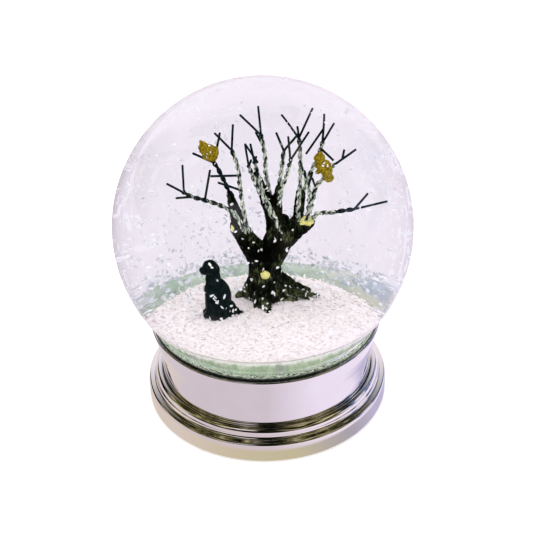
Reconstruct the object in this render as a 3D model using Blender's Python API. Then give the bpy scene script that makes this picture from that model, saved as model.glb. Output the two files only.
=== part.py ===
"""Snow globe: a water-filled glass ball on a polished metal base, with a snowy scene inside.

All sizes are in millimetres; the mesh helpers turn them into metres. +Z is up, the origin is
the middle of the felt pad's underside, and the front of the scene looks along -Y.
"""

from math import atan2, cos, pi, radians, sin, sqrt

import bmesh
import bpy
from mathutils import Matrix, Vector

MM = 0.001
GAP = 0.3                       # clearance between pieces that touch
SEGMENTS = 40                   # facets round every large turned piece
SMALL_SEGMENTS = 16             # and round screws and plugs

# Glass ball
BALL_RADIUS = 60.0
BALL_CENTRE_Z = 79.4
GLASS_WALL = 2.4
NECK_RADIUS = 38.5              # outside of the glass neck
NECK_BOTTOM_Z = 18.0
BALL_STEPS = 15                 # profile steps from the crown to the neck

# Base
FELT_THICKNESS = 1.2
FOOT_RADIUS = 50.8
FOOT_TOP_Z = 8.2
STEP_RADIUS = 47.6
STEP_TOP_Z = 12.9
COLLAR_RADIUS = 44.5
COLLAR_BOTTOM_Z = 9.0
COLLAR_FLANGE_RADIUS = 42.9     # inner edge of the turned-in bottom
COLLAR_LIP_RADIUS = 47.9
COLLAR_TOP_Z = 37.8
METAL_WALL = 0.9

# Scene inside
PLINTH_RADIUS = 31.5
PLINTH_FOOT_RADIUS = 33.5
PLINTH_TOP_Z = 45.9
MOUND_RADIUS = 30.8
MOUND_EDGE_Z = 46.6
MOUND_CROWN_Z = 50.6
MOUND_CENTRE = (-1.0, -0.5)

# Hidden base pieces
STOPPER_RADIUS = 35.7
STOPPER_TOP_Z = 31.0
STOPPER_FLANGE_RADIUS = 40.0
PLUG_RADIUS = 4.0
PLUG_CENTRE = (0.0, 18.0)
PLATE_THICKNESS = 2.0
SCREW_COUNT = 3
SCREW_CIRCLE = 40.9
SCREW_SHANK_RADIUS = 1.1
SCREW_HEAD_RADIUS = 2.6

# Wire
STEM_RADIUS = 0.72              # the twisted pair
TWIG_RADIUS = 0.44              # one strand
WIRE_SIDES = 6


def clear_scene():
    for item in list(bpy.data.objects):
        bpy.data.objects.remove(item, do_unlink=True)


def material(name, colour, roughness, metallic=0.0, transmission=0.0, ior=1.5):
    made = bpy.data.materials.new(name)
    made.use_nodes = True
    shader = made.node_tree.nodes["Principled BSDF"]
    shader.inputs["Base Color"].default_value = (*colour, 1.0)
    shader.inputs["Roughness"].default_value = roughness
    shader.inputs["Metallic"].default_value = metallic
    shader.inputs["Transmission Weight"].default_value = transmission
    shader.inputs["IOR"].default_value = ior
    made.diffuse_color = (*colour, 1.0)
    return made


def add_object(name, mesh, finish):
    made = bpy.data.objects.new(name, mesh)
    bpy.context.collection.objects.link(made)
    if finish is not None:
        mesh.materials.append(finish)
    return made


def smooth(mesh, angle=35.0):
    mesh.shade_smooth()
    mesh.set_sharp_from_angle(angle=radians(angle))


def turned(name, profile, finish, closed=False, centre=(0.0, 0.0), sides=SEGMENTS):
    """Revolve a profile of (radius, height) points about a vertical axis.

    An open profile starts and ends on the axis; a closed one is a ring's section.
    """
    body = bmesh.new()
    loops = []
    for radius, height in profile:
        if radius == 0.0:
            loops.append([body.verts.new((centre[0] * MM, centre[1] * MM, height * MM))])
            continue
        loop = []
        for step in range(sides):
            turn = 2.0 * pi * step / sides
            x = centre[0] + radius * cos(turn)
            y = centre[1] + radius * sin(turn)
            loop.append(body.verts.new((x * MM, y * MM, height * MM)))
        loops.append(loop)
    pairs = list(zip(loops, loops[1:]))
    if closed:
        pairs.append((loops[-1], loops[0]))
    for upper, lower in pairs:
        for step in range(sides):
            after = (step + 1) % sides
            corners = [upper[step % len(upper)], upper[after % len(upper)],
                       lower[after % len(lower)], lower[step % len(lower)]]
            body.faces.new(list(dict.fromkeys(corners)))
    bmesh.ops.recalc_face_normals(body, faces=body.faces)
    mesh = bpy.data.meshes.new(name)
    body.to_mesh(mesh)
    body.free()
    smooth(mesh)
    return add_object(name, mesh, finish)


def cylinder(name, start, end, radius, finish=None, sides=12):
    """A plain cylinder between two points."""
    start, end = Vector(start) * MM, Vector(end) * MM
    axis = end - start
    place = Matrix.Translation((start + end) / 2) @ axis.to_track_quat("Z", "Y").to_matrix().to_4x4()
    body = bmesh.new()
    bmesh.ops.create_cone(body, cap_ends=True, segments=sides, radius1=radius * MM,
                          radius2=radius * MM, depth=axis.length, matrix=place)
    mesh = bpy.data.meshes.new(name)
    body.to_mesh(mesh)
    body.free()
    smooth(mesh)
    return add_object(name, mesh, finish)


def cutter(target, tool):
    """Cut a tool object out of a target; the tool itself is only a guide."""
    tool.hide_render = True
    tool.display_type = "WIRE"
    cut = target.modifiers.new("cut_" + tool.name, "BOOLEAN")
    cut.operation = "DIFFERENCE"
    cut.solver = "EXACT"
    cut.object = tool


def chain(points, spacing=0.45):
    """Balls along a limb: points are ((x, y, z), radius), joined by straight tapered runs."""
    balls = []
    for (start, first), (end, last) in zip(points, points[1:]):
        start, end = Vector(start), Vector(end)
        count = max(2, int((end - start).length / (spacing * min(first, last))))
        for step in range(count + 1):
            part = step / count
            radius = first + (last - first) * part
            balls.append((start.lerp(end, part), (radius, radius, radius), 0.0))
    return balls


def moulded(name, balls, grain, finish, keep):
    """One smooth solid over a set of ellipsoids: (centre, radii, tilt about Y in degrees)."""
    body = bmesh.new()
    for centre, radii, tilt in balls:
        place = Matrix.Translation(Vector(centre) * MM)
        place = place @ Matrix.Rotation(radians(tilt), 4, "Y")
        place = place @ Matrix.Diagonal((*[size * MM for size in radii], 1.0))
        bmesh.ops.create_icosphere(body, subdivisions=2, radius=1.0, matrix=place)
    mesh = bpy.data.meshes.new(name)
    body.to_mesh(mesh)
    body.free()
    made = add_object(name, mesh, finish)
    skin = made.modifiers.new("skin", "REMESH")
    skin.mode = "VOXEL"
    skin.voxel_size = grain * MM
    skin.use_smooth_shade = True
    relax = made.modifiers.new("relax", "SMOOTH")
    relax.factor = 0.5
    relax.iterations = 2
    thin = made.modifiers.new("thin", "DECIMATE")
    thin.ratio = keep
    return made


# ---------------------------------------------------------------- glass and base

def ball_radius_at(height, radius=BALL_RADIUS):
    return sqrt(radius ** 2 - (height - BALL_CENTRE_Z) ** 2)


def ball_arc(radius, neck_radius):
    """Profile points from the crown down to where the ball meets its neck."""
    end = pi - atan2(neck_radius, sqrt(radius ** 2 - neck_radius ** 2))
    arc = [(0.0, BALL_CENTRE_Z + radius)]
    for step in range(1, BALL_STEPS + 1):
        turn = end * step / BALL_STEPS
        arc.append((radius * sin(turn), BALL_CENTRE_Z + radius * cos(turn)))
    return arc


def build_glass():
    finish = material("clear_glass", (0.95, 0.95, 1.0), 0.0, transmission=1.0, ior=1.5)
    outside = ball_arc(BALL_RADIUS, NECK_RADIUS)
    inside = ball_arc(BALL_RADIUS - GLASS_WALL, NECK_RADIUS - GLASS_WALL)
    outside.append((NECK_RADIUS, NECK_BOTTOM_Z + 1.5))
    rim = [(NECK_RADIUS + 0.6, NECK_BOTTOM_Z), (NECK_RADIUS - GLASS_WALL, NECK_BOTTOM_Z)]
    turned("glass_globe", outside + rim + inside[::-1], finish)


def build_metal():
    chrome = material("polished_metal", (0.80, 0.77, 0.76), 0.05, metallic=1.0)
    collar_outside = [(COLLAR_LIP_RADIUS - 0.5, COLLAR_TOP_Z), (COLLAR_LIP_RADIUS, COLLAR_TOP_Z - 0.4),
                      (46.8, 33.0), (45.85, 29.0), (45.1, 25.0), (44.65, 21.0), (COLLAR_RADIUS, 17.0),
                      (COLLAR_RADIUS, COLLAR_BOTTOM_Z)]
    wall = [(radius - METAL_WALL, height) for radius, height in collar_outside[2:]]
    flange_top = COLLAR_BOTTOM_Z + METAL_WALL
    flange = [(COLLAR_FLANGE_RADIUS, COLLAR_BOTTOM_Z), (COLLAR_FLANGE_RADIUS, flange_top),
              (COLLAR_RADIUS - METAL_WALL, flange_top)]
    lip = [(COLLAR_LIP_RADIUS - METAL_WALL - 0.4, COLLAR_TOP_Z)]
    turned("collar_band", collar_outside + flange + wall[-2::-1] + lip, chrome, closed=True)

    bottom = FELT_THICKNESS - 0.8
    hole = COLLAR_RADIUS + GAP
    foot_outside = [(hole, STEP_TOP_Z + 1.2), (46.4, STEP_TOP_Z + 0.5), (47.2, STEP_TOP_Z - 0.2),
                    (STEP_RADIUS, STEP_TOP_Z - 1.0), (STEP_RADIUS, STEP_TOP_Z - 2.2),
                    (48.1, 9.8), (48.9, 9.2), (49.9, 8.8), (50.5, FOOT_TOP_Z),
                    (FOOT_RADIUS, FOOT_TOP_Z - 0.8), (FOOT_RADIUS, bottom + 0.5),
                    (FOOT_RADIUS - 0.5, bottom)]
    foot_inside = [(FOOT_RADIUS - 1.2, bottom), (FOOT_RADIUS - 1.2, 7.2), (47.6, 8.4),
                   (46.6, 9.4), (46.6, 11.4), (hole, 12.4)]
    turned("foot_ring", foot_outside + foot_inside, chrome, closed=True)


def build_seal():
    """Sealing bead that fills the wedge between the collar's flare and the glass."""
    finish = material("sealing_bead", (0.16, 0.24, 0.17), 0.25)
    section = [(46.75, 40.9), (46.9, 39.2), (46.3, 37.9), (45.7, 36.0), (44.4, 33.0), (43.5, 31.0),
               (40.2, 31.2), (38.9, 32.6)]
    for height in (33.4, 35.5, 37.5, 39.4):
        section.append((ball_radius_at(height) + GAP, height))
    turned("globe_seal", section, finish, closed=True)


def build_hidden_base():
    plastic = material("moulded_plastic", (0.82, 0.81, 0.78), 0.5)
    rubber = material("stopper_rubber", (0.10, 0.10, 0.10), 0.7)
    steel = material("screw_steel", (0.55, 0.55, 0.56), 0.35, metallic=1.0)
    felt = material("felt", (0.03, 0.05, 0.04), 1.0)

    cradle_bottom = COLLAR_BOTTOM_Z + METAL_WALL + GAP
    cradle = turned("globe_cradle",
                    [(43.2, 30.6), (43.2, cradle_bottom), (NECK_RADIUS + 0.5, cradle_bottom),
                     (NECK_RADIUS + 0.5, 15.4), (40.5, 15.6), (40.5, 19.0), (39.1, 20.5), (39.1, 30.9)],
                    plastic, closed=True)

    neck_inside = NECK_RADIUS - GLASS_WALL
    flange_top = NECK_BOTTOM_Z - GAP
    stopper = turned("rubber_stopper",
                     [(0.0, STOPPER_TOP_Z), (STOPPER_RADIUS - 0.8, STOPPER_TOP_Z),
                      (neck_inside - GAP, STOPPER_TOP_Z - 2.0), (neck_inside - GAP, flange_top),
                      (STOPPER_FLANGE_RADIUS, flange_top), (STOPPER_FLANGE_RADIUS, 15.9), (0.0, 15.9)],
                     rubber)
    x, y = PLUG_CENTRE
    bore = cylinder("plug_bore", (x, y, 14.0), (x, y, 33.0), PLUG_RADIUS + GAP, sides=24)
    cutter(stopper, bore)
    turned("filler_plug",
           [(0.0, STOPPER_TOP_Z - 0.6), (PLUG_RADIUS, STOPPER_TOP_Z - 0.6), (PLUG_RADIUS, 15.6),
            (PLUG_RADIUS + 2.5, 15.6), (PLUG_RADIUS + 2.5, 14.0), (0.0, 14.0)],
           rubber, centre=PLUG_CENTRE, sides=SMALL_SEGMENTS)

    plate_top = FELT_THICKNESS + GAP + PLATE_THICKNESS
    plate = turned("base_plate",
                   [(0.0, plate_top), (36.0, plate_top), (36.0, COLLAR_BOTTOM_Z - GAP),
                    (46.2, COLLAR_BOTTOM_Z - GAP), (46.2, 6.6), (FOOT_RADIUS - 1.5, 6.0),
                    (FOOT_RADIUS - 1.5, FELT_THICKNESS + GAP), (0.0, FELT_THICKNESS + GAP)],
                   plastic)
    for index in range(SCREW_COUNT):
        turn = 2.0 * pi * (index + 0.25) / SCREW_COUNT
        x, y = SCREW_CIRCLE * cos(turn), SCREW_CIRCLE * sin(turn)
        head_bottom = FELT_THICKNESS + 2 * GAP
        head_top = head_bottom + 1.8
        screw = turned("base_screw_%d" % (index + 1),
                       [(0.0, 14.4), (SCREW_SHANK_RADIUS, 13.6), (SCREW_SHANK_RADIUS, head_top),
                        (SCREW_HEAD_RADIUS, head_top), (SCREW_HEAD_RADIUS, head_bottom),
                        (0.0, head_bottom)],
                       steel, centre=(x, y), sides=SMALL_SEGMENTS)
        drive = cylinder("drive_%d" % index, (x, y, head_bottom - 1.0), (x, y, head_bottom + 0.9),
                         1.2, sides=6)
        cutter(screw, drive)
        hole = turned("screw_hole_%d" % index,
                      [(0.0, 14.8), (SCREW_SHANK_RADIUS + GAP, 14.8),
                       (SCREW_SHANK_RADIUS + GAP, head_top + GAP),
                       (SCREW_HEAD_RADIUS + GAP, head_top + GAP),
                       (SCREW_HEAD_RADIUS + GAP, -1.0), (0.0, -1.0)],
                      None, centre=(x, y), sides=SMALL_SEGMENTS)
        cutter(plate, hole)
        cutter(cradle, hole)
    turned("felt_pad", [(0.0, FELT_THICKNESS), (FOOT_RADIUS - 1.6, FELT_THICKNESS),
                        (FOOT_RADIUS - 1.6, 0.0), (0.0, 0.0)], felt)


# ---------------------------------------------------------------- scene inside the ball

def build_ground():
    """Green plinth and the snow on it. Returns the solid that the figures' feet are cut by."""
    green = material("plinth_green", (0.32, 0.45, 0.30), 0.5)
    snow = material("snow", (0.93, 0.91, 0.90), 0.8)
    turned("scene_plinth",
           [(0.0, PLINTH_TOP_Z), (PLINTH_RADIUS - 1.0, PLINTH_TOP_Z), (PLINTH_RADIUS, PLINTH_TOP_Z - 1.0),
            (PLINTH_FOOT_RADIUS, STOPPER_TOP_Z + GAP), (0.0, STOPPER_TOP_Z + GAP)],
           green, centre=MOUND_CENTRE)

    def dome(name, lift, bottom, finish):
        profile = [(0.0, MOUND_CROWN_Z + lift)]
        rings = 7
        for ring in range(1, rings + 1):
            part = ring / rings
            fall = (MOUND_CROWN_Z - MOUND_EDGE_Z) * part ** 2
            profile.append((MOUND_RADIUS * part, MOUND_CROWN_Z - fall + lift))
        profile += [(MOUND_RADIUS - 0.4, bottom), (0.0, bottom)]
        return turned(name, profile, finish, centre=MOUND_CENTRE)

    dome("snow_mound", 0.0, PLINTH_TOP_Z + GAP, snow)
    return dome("ground_guide", GAP, MOUND_EDGE_Z - 12.0, None)


TRUNK_LIMBS = (
    # stem and the three limbs
    [((0.3, 11.0, 52.0), 5.4), ((0.2, 11.0, 56.0), 4.8), ((0.3, 11.0, 60.0), 4.5),
     ((0.5, 11.0, 63.0), 4.6)],
    [((-0.8, 11.0, 62.5), 3.8), ((-4.2, 10.5, 68.0), 2.9), ((-7.0, 10.2, 73.6), 2.6)],
    [((1.8, 11.0, 63.0), 3.8), ((3.6, 11.0, 70.0), 2.8), ((3.6, 11.0, 75.0), 2.5), ((1.8, 10.8, 81.0), 2.1),
     ((-0.4, 10.5, 87.0), 1.5), ((-1.8, 10.4, 91.4), 1.0)],
    [((1.6, 10.6, 62.0), 3.6), ((6.0, 9.8, 68.8), 2.6), ((10.8, 8.8, 73.4), 2.2),
     ((13.0, 8.2, 75.8), 2.1)],
    # the limb behind the right one, the stubs and the knots
    [((1.6, 12.0, 62.0), 3.5), ((6.2, 12.6, 68.6), 2.2), ((10.2, 12.4, 74.6), 1.6),
     ((11.2, 12.4, 83.0), 1.4)],
    [((-7.0, 10.6, 74.6), 2.2), ((-8.0, 11.0, 79.0), 1.6), ((-9.6, 11.4, 84.4), 0.9)],
    [((3.8, 11.0, 78.5), 2.0), ((4.4, 10.8, 82.0), 1.5), ((5.1, 10.6, 86.4), 1.0)],
    [((5.2, 9.8, 75.4), 2.0), ((6.0, 9.2, 75.9), 1.9)],
    [((0.2, 8.2, 59.9), 1.6), ((0.2, 6.3, 59.8), 1.4)],
    # roots
    [((-2.0, 10.0, 55.6), 2.8), ((-4.8, 11.6, 52.0), 1.6), ((-7.4, 12.4, 50.0), 0.9)],
    [((0.0, 8.6, 55.0), 3.4), ((-0.2, 5.6, 52.0), 2.4), ((0.2, 3.2, 50.8), 1.5), ((0.9, 1.0, 49.9), 0.9)],
    [((-1.4, 7.6, 53.0), 1.6), ((-2.4, 5.6, 51.2), 1.1), ((-2.6, 4.2, 50.2), 0.9)],
    [((2.6, 10.5, 55.0), 2.4), ((6.2, 11.2, 52.2), 1.3), ((10.2, 12.0, 50.6), 1.0),
     ((14.0, 12.6, 49.8), 0.9)],
    [((2.4, 9.6, 54.0), 2.0), ((4.8, 8.6, 51.4), 1.1), ((8.6, 8.8, 50.2), 0.9)],
    [((3.0, 12.0, 55.0), 2.8), ((8.2, 14.6, 51.4), 1.3), ((11.6, 16.2, 49.4), 0.9)],
    [((-1.0, 13.0, 55.0), 3.0), ((-3.6, 17.0, 50.6), 1.6), ((-4.6, 20.4, 48.6), 0.9)],
)


def build_trunk(ground):
    bark = material("bark", (0.035, 0.035, 0.02), 0.6)
    balls = [ball for limb in TRUNK_LIMBS for ball in chain(limb)]
    trunk = moulded("tree_trunk", balls, 0.7, bark, 0.17)
    cutter(trunk, ground)
    return trunk


# Each branch: its stem's points from the socket outwards, and the twigs that leave it. The last
# stem point is where the two strands part.
BRANCHES = {
    "branch_left_low": (
        [(-5.4, 8.6, 74.4), (-8.0, 7.6, 79.2), (-11.5, 7.2, 82.4), (-17.0, 6.0, 85.6), (-21.0, 5.0, 87.6),
         (-23.4, 4.6, 89.4)],
        [[(-23.4, 4.6, 89.4), (-29.0, 3.0, 94.0)], [(-23.4, 4.6, 89.4), (-24.0, 6.0, 98.6)],
         [(-21.0, 5.0, 87.6), (-26.0, 2.4, 89.0)], [(-17.0, 6.0, 85.6), (-15.4, 7.4, 95.4)]]),
    "branch_left_squirrel": (
        [(-6.8, 11.8, 74.4), (-8.6, 13.8, 80.0), (-10.2, 14.0, 85.0), (-12.4, 14.0, 90.6),
         (-13.8, 14.0, 93.4)],
        [[(-13.8, 14.0, 93.4), (-20.2, 13.0, 97.8)], [(-13.8, 14.0, 93.4), (-12.0, 16.0, 102.8)]]),
    "branch_left_high": (
        [(-5.0, 10.6, 74.2), (-5.9, 9.4, 82.6), (-6.6, 8.4, 90.0), (-7.0, 8.0, 95.6), (-8.8, 8.0, 102.0)],
        [[(-8.8, 8.0, 102.0), (-14.2, 7.0, 109.8)], [(-8.8, 8.0, 102.0), (-8.4, 9.0, 111.4)],
         [(-6.9, 8.2, 92.6), (-15.0, 10.6, 91.0)], [(-6.0, 8.6, 87.0), (-13.0, 5.6, 92.0)]]),
    "branch_centre_front": (
        [(3.4, 9.4, 79.0), (0.9, 6.8, 85.0), (-1.6, 6.0, 90.4), (-3.8, 5.0, 98.0)],
        [[(-3.8, 5.0, 98.0), (-4.8, 4.0, 107.2)], [(-4.75, 4.05, 106.8), (-1.0, 3.4, 100.4)]]),
    "branch_centre_short": (
        [(1.4, 10.0, 82.4), (-0.3, 8.6, 88.4), (-1.2, 8.2, 93.2), (-2.0, 8.0, 97.4)],
        [[(-2.0, 8.0, 97.4), (-3.1, 7.4, 104.6)]]),
    "branch_centre_tall": (
        [(2.6, 12.2, 80.4), (1.9, 11.8, 86.0), (1.2, 11.0, 92.0), (1.2, 10.4, 98.0), (0.2, 10.0, 106.0)],
        [[(0.2, 10.0, 106.0), (-6.2, 8.8, 115.6)], [(0.2, 10.0, 106.0), (-0.4, 11.0, 117.4)],
         [(1.0, 10.3, 101.0), (-1.4, 13.6, 104.6)]]),
    "branch_centre_back": (
        [(4.4, 11.8, 81.6), (5.4, 12.6, 88.0), (6.2, 13.4, 93.0), (6.8, 14.0, 97.0)],
        [[(6.8, 14.0, 97.0), (4.8, 14.4, 103.4)], [(6.8, 14.0, 97.0), (11.4, 16.2, 101.6)]]),
    "branch_centre_right": (
        [(4.8, 9.9, 80.6), (5.9, 8.0, 88.0), (7.4, 5.6, 93.4), (9.0, 3.2, 101.0)],
        [[(9.0, 3.2, 101.0), (8.8, 2.2, 111.0)], [(9.0, 3.2, 101.0), (15.6, 0.8, 114.0)]]),
    "branch_right_tall": (
        [(10.2, 9.2, 73.8), (10.6, 8.2, 82.0), (11.4, 8.0, 90.0), (11.8, 8.0, 98.0), (11.8, 8.0, 106.0)],
        [[(11.8, 8.0, 106.0), (11.6, 8.4, 110.4)], [(11.8, 8.0, 106.0), (7.0, 6.4, 117.2)],
         [(11.8, 8.0, 106.0), (17.2, 9.2, 118.2)]]),
    "branch_right_inner": (
        [(12.4, 8.0, 74.4), (13.4, 5.6, 81.0), (14.2, 4.2, 88.4), (12.8, 3.0, 97.0)],
        [[(12.8, 3.0, 97.0), (12.0, 2.0, 101.6)], [(13.9, 3.9, 90.4), (15.6, 1.6, 97.4)]]),
    "branch_right_back": (
        [(11.1, 12.4, 81.2), (14.0, 13.6, 88.4), (16.8, 14.0, 94.6), (18.4, 14.0, 99.6)],
        [[(18.4, 14.0, 99.6), (20.0, 14.2, 111.0)], [(18.4, 14.0, 99.6), (22.4, 16.0, 105.6)],
         [(19.2, 14.1, 105.0), (13.4, 13.0, 96.4)], [(17.7, 14.0, 97.6), (21.4, 12.6, 94.0)]]),
    "branch_right_squirrel": (
        [(12.6, 10.0, 74.6), (14.4, 10.2, 80.6), (15.8, 10.2, 86.2), (18.2, 10.2, 89.4),
         (21.6, 10.2, 94.0)],
        [[(21.6, 10.2, 94.0), (29.2, 8.6, 101.0)], [(24.4, 9.6, 96.6), (25.2, 10.6, 99.4)],
         [(15.8, 10.2, 86.2), (14.8, 6.4, 93.6)], [(17.0, 10.2, 87.8), (13.2, 8.8, 82.6)]]),
    "branch_right_low": (
        [(14.4, 8.4, 75.4), (15.8, 6.2, 79.6), (20.0, 4.8, 80.8), (24.0, 3.8, 82.0), (27.4, 2.8, 83.0)],
        [[(27.4, 2.8, 83.0), (32.2, 2.0, 89.0)], [(27.4, 2.8, 83.0), (38.6, 0.6, 87.0)]]),
}


def wire(name, points, radii, finish):
    """A closed tube through points, turned as little as possible from one to the next."""
    points = [Vector(point) for point in points]
    body = bmesh.new()
    rings = []
    side = Vector((0.0, 1.0, 0.1)).normalized()
    for index, (point, radius) in enumerate(zip(points, radii)):
        before, after = points[max(index - 1, 0)], points[min(index + 1, len(points) - 1)]
        along = (after - before).normalized()
        side = (side - along * side.dot(along)).normalized()
        across = along.cross(side)
        ring = []
        for step in range(WIRE_SIDES):
            turn = 2.0 * pi * step / WIRE_SIDES
            place = point + (side * cos(turn) + across * sin(turn)) * radius
            ring.append(body.verts.new(place * MM))
        rings.append(ring)
    for first, second in zip(rings, rings[1:]):
        for step in range(WIRE_SIDES):
            after = (step + 1) % WIRE_SIDES
            body.faces.new((first[step], first[after], second[after], second[step]))
    body.faces.new(rings[0][::-1])
    body.faces.new(rings[-1])
    bmesh.ops.recalc_face_normals(body, faces=body.faces)
    mesh = bpy.data.meshes.new(name)
    body.to_mesh(mesh)
    body.free()
    smooth(mesh, 50.0)
    return add_object(name, mesh, finish)


def build_branches(trunk):
    """Wire branches: a twisted stem in a drilled socket, parting into bare single-strand twigs."""
    finish = material("dark_wire", (0.02, 0.05, 0.05), 0.4)
    for name, (stem, twigs) in BRANCHES.items():
        radii = [STEM_RADIUS] * (len(stem) - 1) + [TWIG_RADIUS + 0.1, TWIG_RADIUS]
        made = wire(name, stem + [twigs[0][1]], radii, finish)
        for index, (start, end) in enumerate(twigs[1:]):
            back = (Vector(start) - Vector(end)).normalized() * 0.3
            twig = wire("%s_twig_%d" % (name, index), [Vector(start) + back, end],
                        [TWIG_RADIUS, TWIG_RADIUS * 0.97], None)
            twig.hide_render = True
            twig.display_type = "WIRE"
            joint = made.modifiers.new("twig", "BOOLEAN")
            joint.operation = "UNION"
            joint.solver = "EXACT"
            joint.object = twig
        first, second = Vector(stem[0]), Vector(stem[1])
        bottom = first - (second - first).normalized() * GAP
        socket = wire("socket_" + name, [bottom] + stem[1:3], [STEM_RADIUS + GAP * 1.2] * 3, None)
        cutter(trunk, socket)


DOG = (
    # centre, radii, tilt
    ((-13.4, 2.0, 52.4), (3.7, 3.4, 4.4), 0.0),         # haunches
    ((-11.4, 2.0, 51.4), (3.4, 3.6, 3.4), 0.0),
    ((-12.7, 2.0, 56.6), (3.3, 2.8, 4.9), -16.0),       # back and chest
    ((-15.3, 2.0, 58.0), (2.3, 2.3, 3.8), -4.0),
    ((-15.1, 2.0, 62.0), (2.0, 1.8, 2.6), 0.0),         # neck
    ((-15.5, 2.0, 65.4), (2.1, 1.9, 2.2), 0.0),         # head
    ((-17.6, 2.0, 64.0), (1.3, 1.1, 1.1), 20.0),        # muzzle
    ((-13.8, 0.5, 64.3), (1.0, 0.7, 2.2), -10.0),       # ears
    ((-13.8, 3.5, 64.3), (1.0, 0.7, 2.2), -10.0),
    ((-16.4, 0.9, 54.2), (1.0, 1.0, 4.8), 0.0),         # front legs
    ((-16.4, 3.1, 54.2), (1.0, 1.0, 4.8), 0.0),
    ((-17.0, 0.8, 50.4), (1.4, 1.1, 0.9), 0.0),
    ((-17.0, 3.2, 50.4), (1.4, 1.1, 0.9), 0.0),
    ((-13.4, -1.2, 50.5), (2.6, 1.2, 1.1), 0.0),        # hind feet
    ((-13.4, 5.2, 50.5), (2.6, 1.2, 1.1), 0.0),
    ((-8.4, 2.2, 50.4), (2.4, 0.9, 0.9), 24.0),         # tail
)
SQUIRREL_LEFT = (
    ((-17.4, 13.5, 100.1), (1.2, 1.1, 1.15), 0.0),      # head, snout and ears
    ((-18.3, 13.5, 99.4), (0.65, 0.55, 0.5), 0.0),
    ((-17.0, 13.0, 101.2), (0.45, 0.4, 0.5), 0.0),
    ((-17.0, 14.0, 101.2), (0.45, 0.4, 0.5), 0.0),
    ((-16.4, 13.5, 98.4), (1.3, 1.2, 1.8), -15.0),      # chest, body and haunches
    ((-15.2, 13.5, 98.0), (1.8, 1.5, 2.4), -40.0),
    ((-14.2, 12.5, 96.6), (1.5, 0.9, 1.6), 0.0),
    ((-14.2, 14.5, 96.6), (1.5, 0.9, 1.6), 0.0),
    ((-17.2, 12.8, 98.0), (0.8, 0.4, 0.4), 0.0),        # paws and feet
    ((-17.2, 14.2, 98.0), (0.8, 0.4, 0.4), 0.0),
    ((-16.4, 12.8, 95.9), (1.0, 0.5, 0.5), 30.0),
    ((-16.4, 14.2, 95.9), (1.0, 0.5, 0.5), 30.0),
    ((-13.4, 13.5, 97.6), (1.0, 1.0, 1.9), 10.0),       # curled tail
)
SQUIRREL_RIGHT = (
    ((17.9, 7.4, 98.6), (1.5, 1.3, 1.5), 0.0),          # head, snout and ears
    ((16.8, 7.4, 98.2), (0.7, 0.6, 0.6), 0.0),
    ((18.0, 6.8, 99.8), (0.5, 0.4, 0.55), 0.0),
    ((18.0, 8.0, 99.8), (0.5, 0.4, 0.55), 0.0),
    ((18.0, 7.4, 96.4), (1.5, 1.3, 2.0), -10.0),        # chest, body and haunches
    ((19.0, 7.4, 95.2), (2.2, 1.7, 2.2), -20.0),
    ((19.6, 6.6, 94.2), (1.5, 1.0, 1.7), 0.0),
    ((17.2, 6.4, 94.4), (1.2, 0.5, 0.7), -30.0),        # paw and hips
    ((19.2, 7.8, 92.6), (1.5, 1.3, 1.5), 0.0),
    ((19.8, 8.0, 90.6), (1.45, 1.3, 1.3), 0.0),         # tail's end
)


def groove(figure, branch, first, last):
    """A clearance groove in a figure along one straight run of a branch that it is glued to."""
    run = Vector(last) - Vector(first)
    reach = run.normalized() * 1.0
    guide = cylinder("groove_%s_%s" % (figure.name, branch), Vector(first) - reach, Vector(last) + reach,
                     STEM_RADIUS + GAP, sides=10)
    cutter(figure, guide)


def build_figures(ground):
    black = material("black_resin", (0.012, 0.02, 0.02), 0.3)
    gold = material("golden_resin", (0.30, 0.19, 0.02), 0.45)
    dog = moulded("dog", DOG, 0.55, black, 0.30)
    cutter(dog, ground)
    left = moulded("squirrel_left", SQUIRREL_LEFT, 0.4, gold, 0.22)
    for index, (start, end) in enumerate(BRANCHES["branch_left_squirrel"][1]):
        groove(left, "twig_%d" % index, start, end)
    right = moulded("squirrel_right", SQUIRREL_RIGHT, 0.4, gold, 0.22)
    stem = BRANCHES["branch_right_squirrel"][0]
    groove(right, "stem", stem[-2], stem[-1])


def main():
    clear_scene()
    build_glass()
    build_metal()
    build_seal()
    build_hidden_base()
    ground = build_ground()
    trunk = build_trunk(ground)
    build_branches(trunk)
    build_figures(ground)


main()
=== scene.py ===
"""Looks of the snow globe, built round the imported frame.

Lengths are in millimetres, as in the design, and MM turns them into Blender's metres. The front
of the scene looks along -Y, and the origin is the middle of the base's underside.
"""

import random
from math import acos, cos, exp, pi, radians, sin, sqrt

import bmesh
import bpy
from mathutils import Matrix, Vector, noise


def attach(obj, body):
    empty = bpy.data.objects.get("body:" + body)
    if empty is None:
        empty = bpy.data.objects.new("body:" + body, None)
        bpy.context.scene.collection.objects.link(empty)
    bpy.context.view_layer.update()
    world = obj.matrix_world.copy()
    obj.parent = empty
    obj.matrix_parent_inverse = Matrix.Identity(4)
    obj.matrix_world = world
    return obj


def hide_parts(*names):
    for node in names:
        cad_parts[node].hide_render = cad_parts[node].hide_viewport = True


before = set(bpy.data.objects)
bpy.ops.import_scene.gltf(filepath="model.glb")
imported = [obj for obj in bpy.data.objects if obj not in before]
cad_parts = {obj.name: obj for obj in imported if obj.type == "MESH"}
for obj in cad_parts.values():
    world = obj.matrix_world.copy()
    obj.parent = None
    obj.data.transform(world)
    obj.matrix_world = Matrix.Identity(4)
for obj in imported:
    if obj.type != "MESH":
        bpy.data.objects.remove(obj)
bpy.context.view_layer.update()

MM = 0.001

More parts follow.
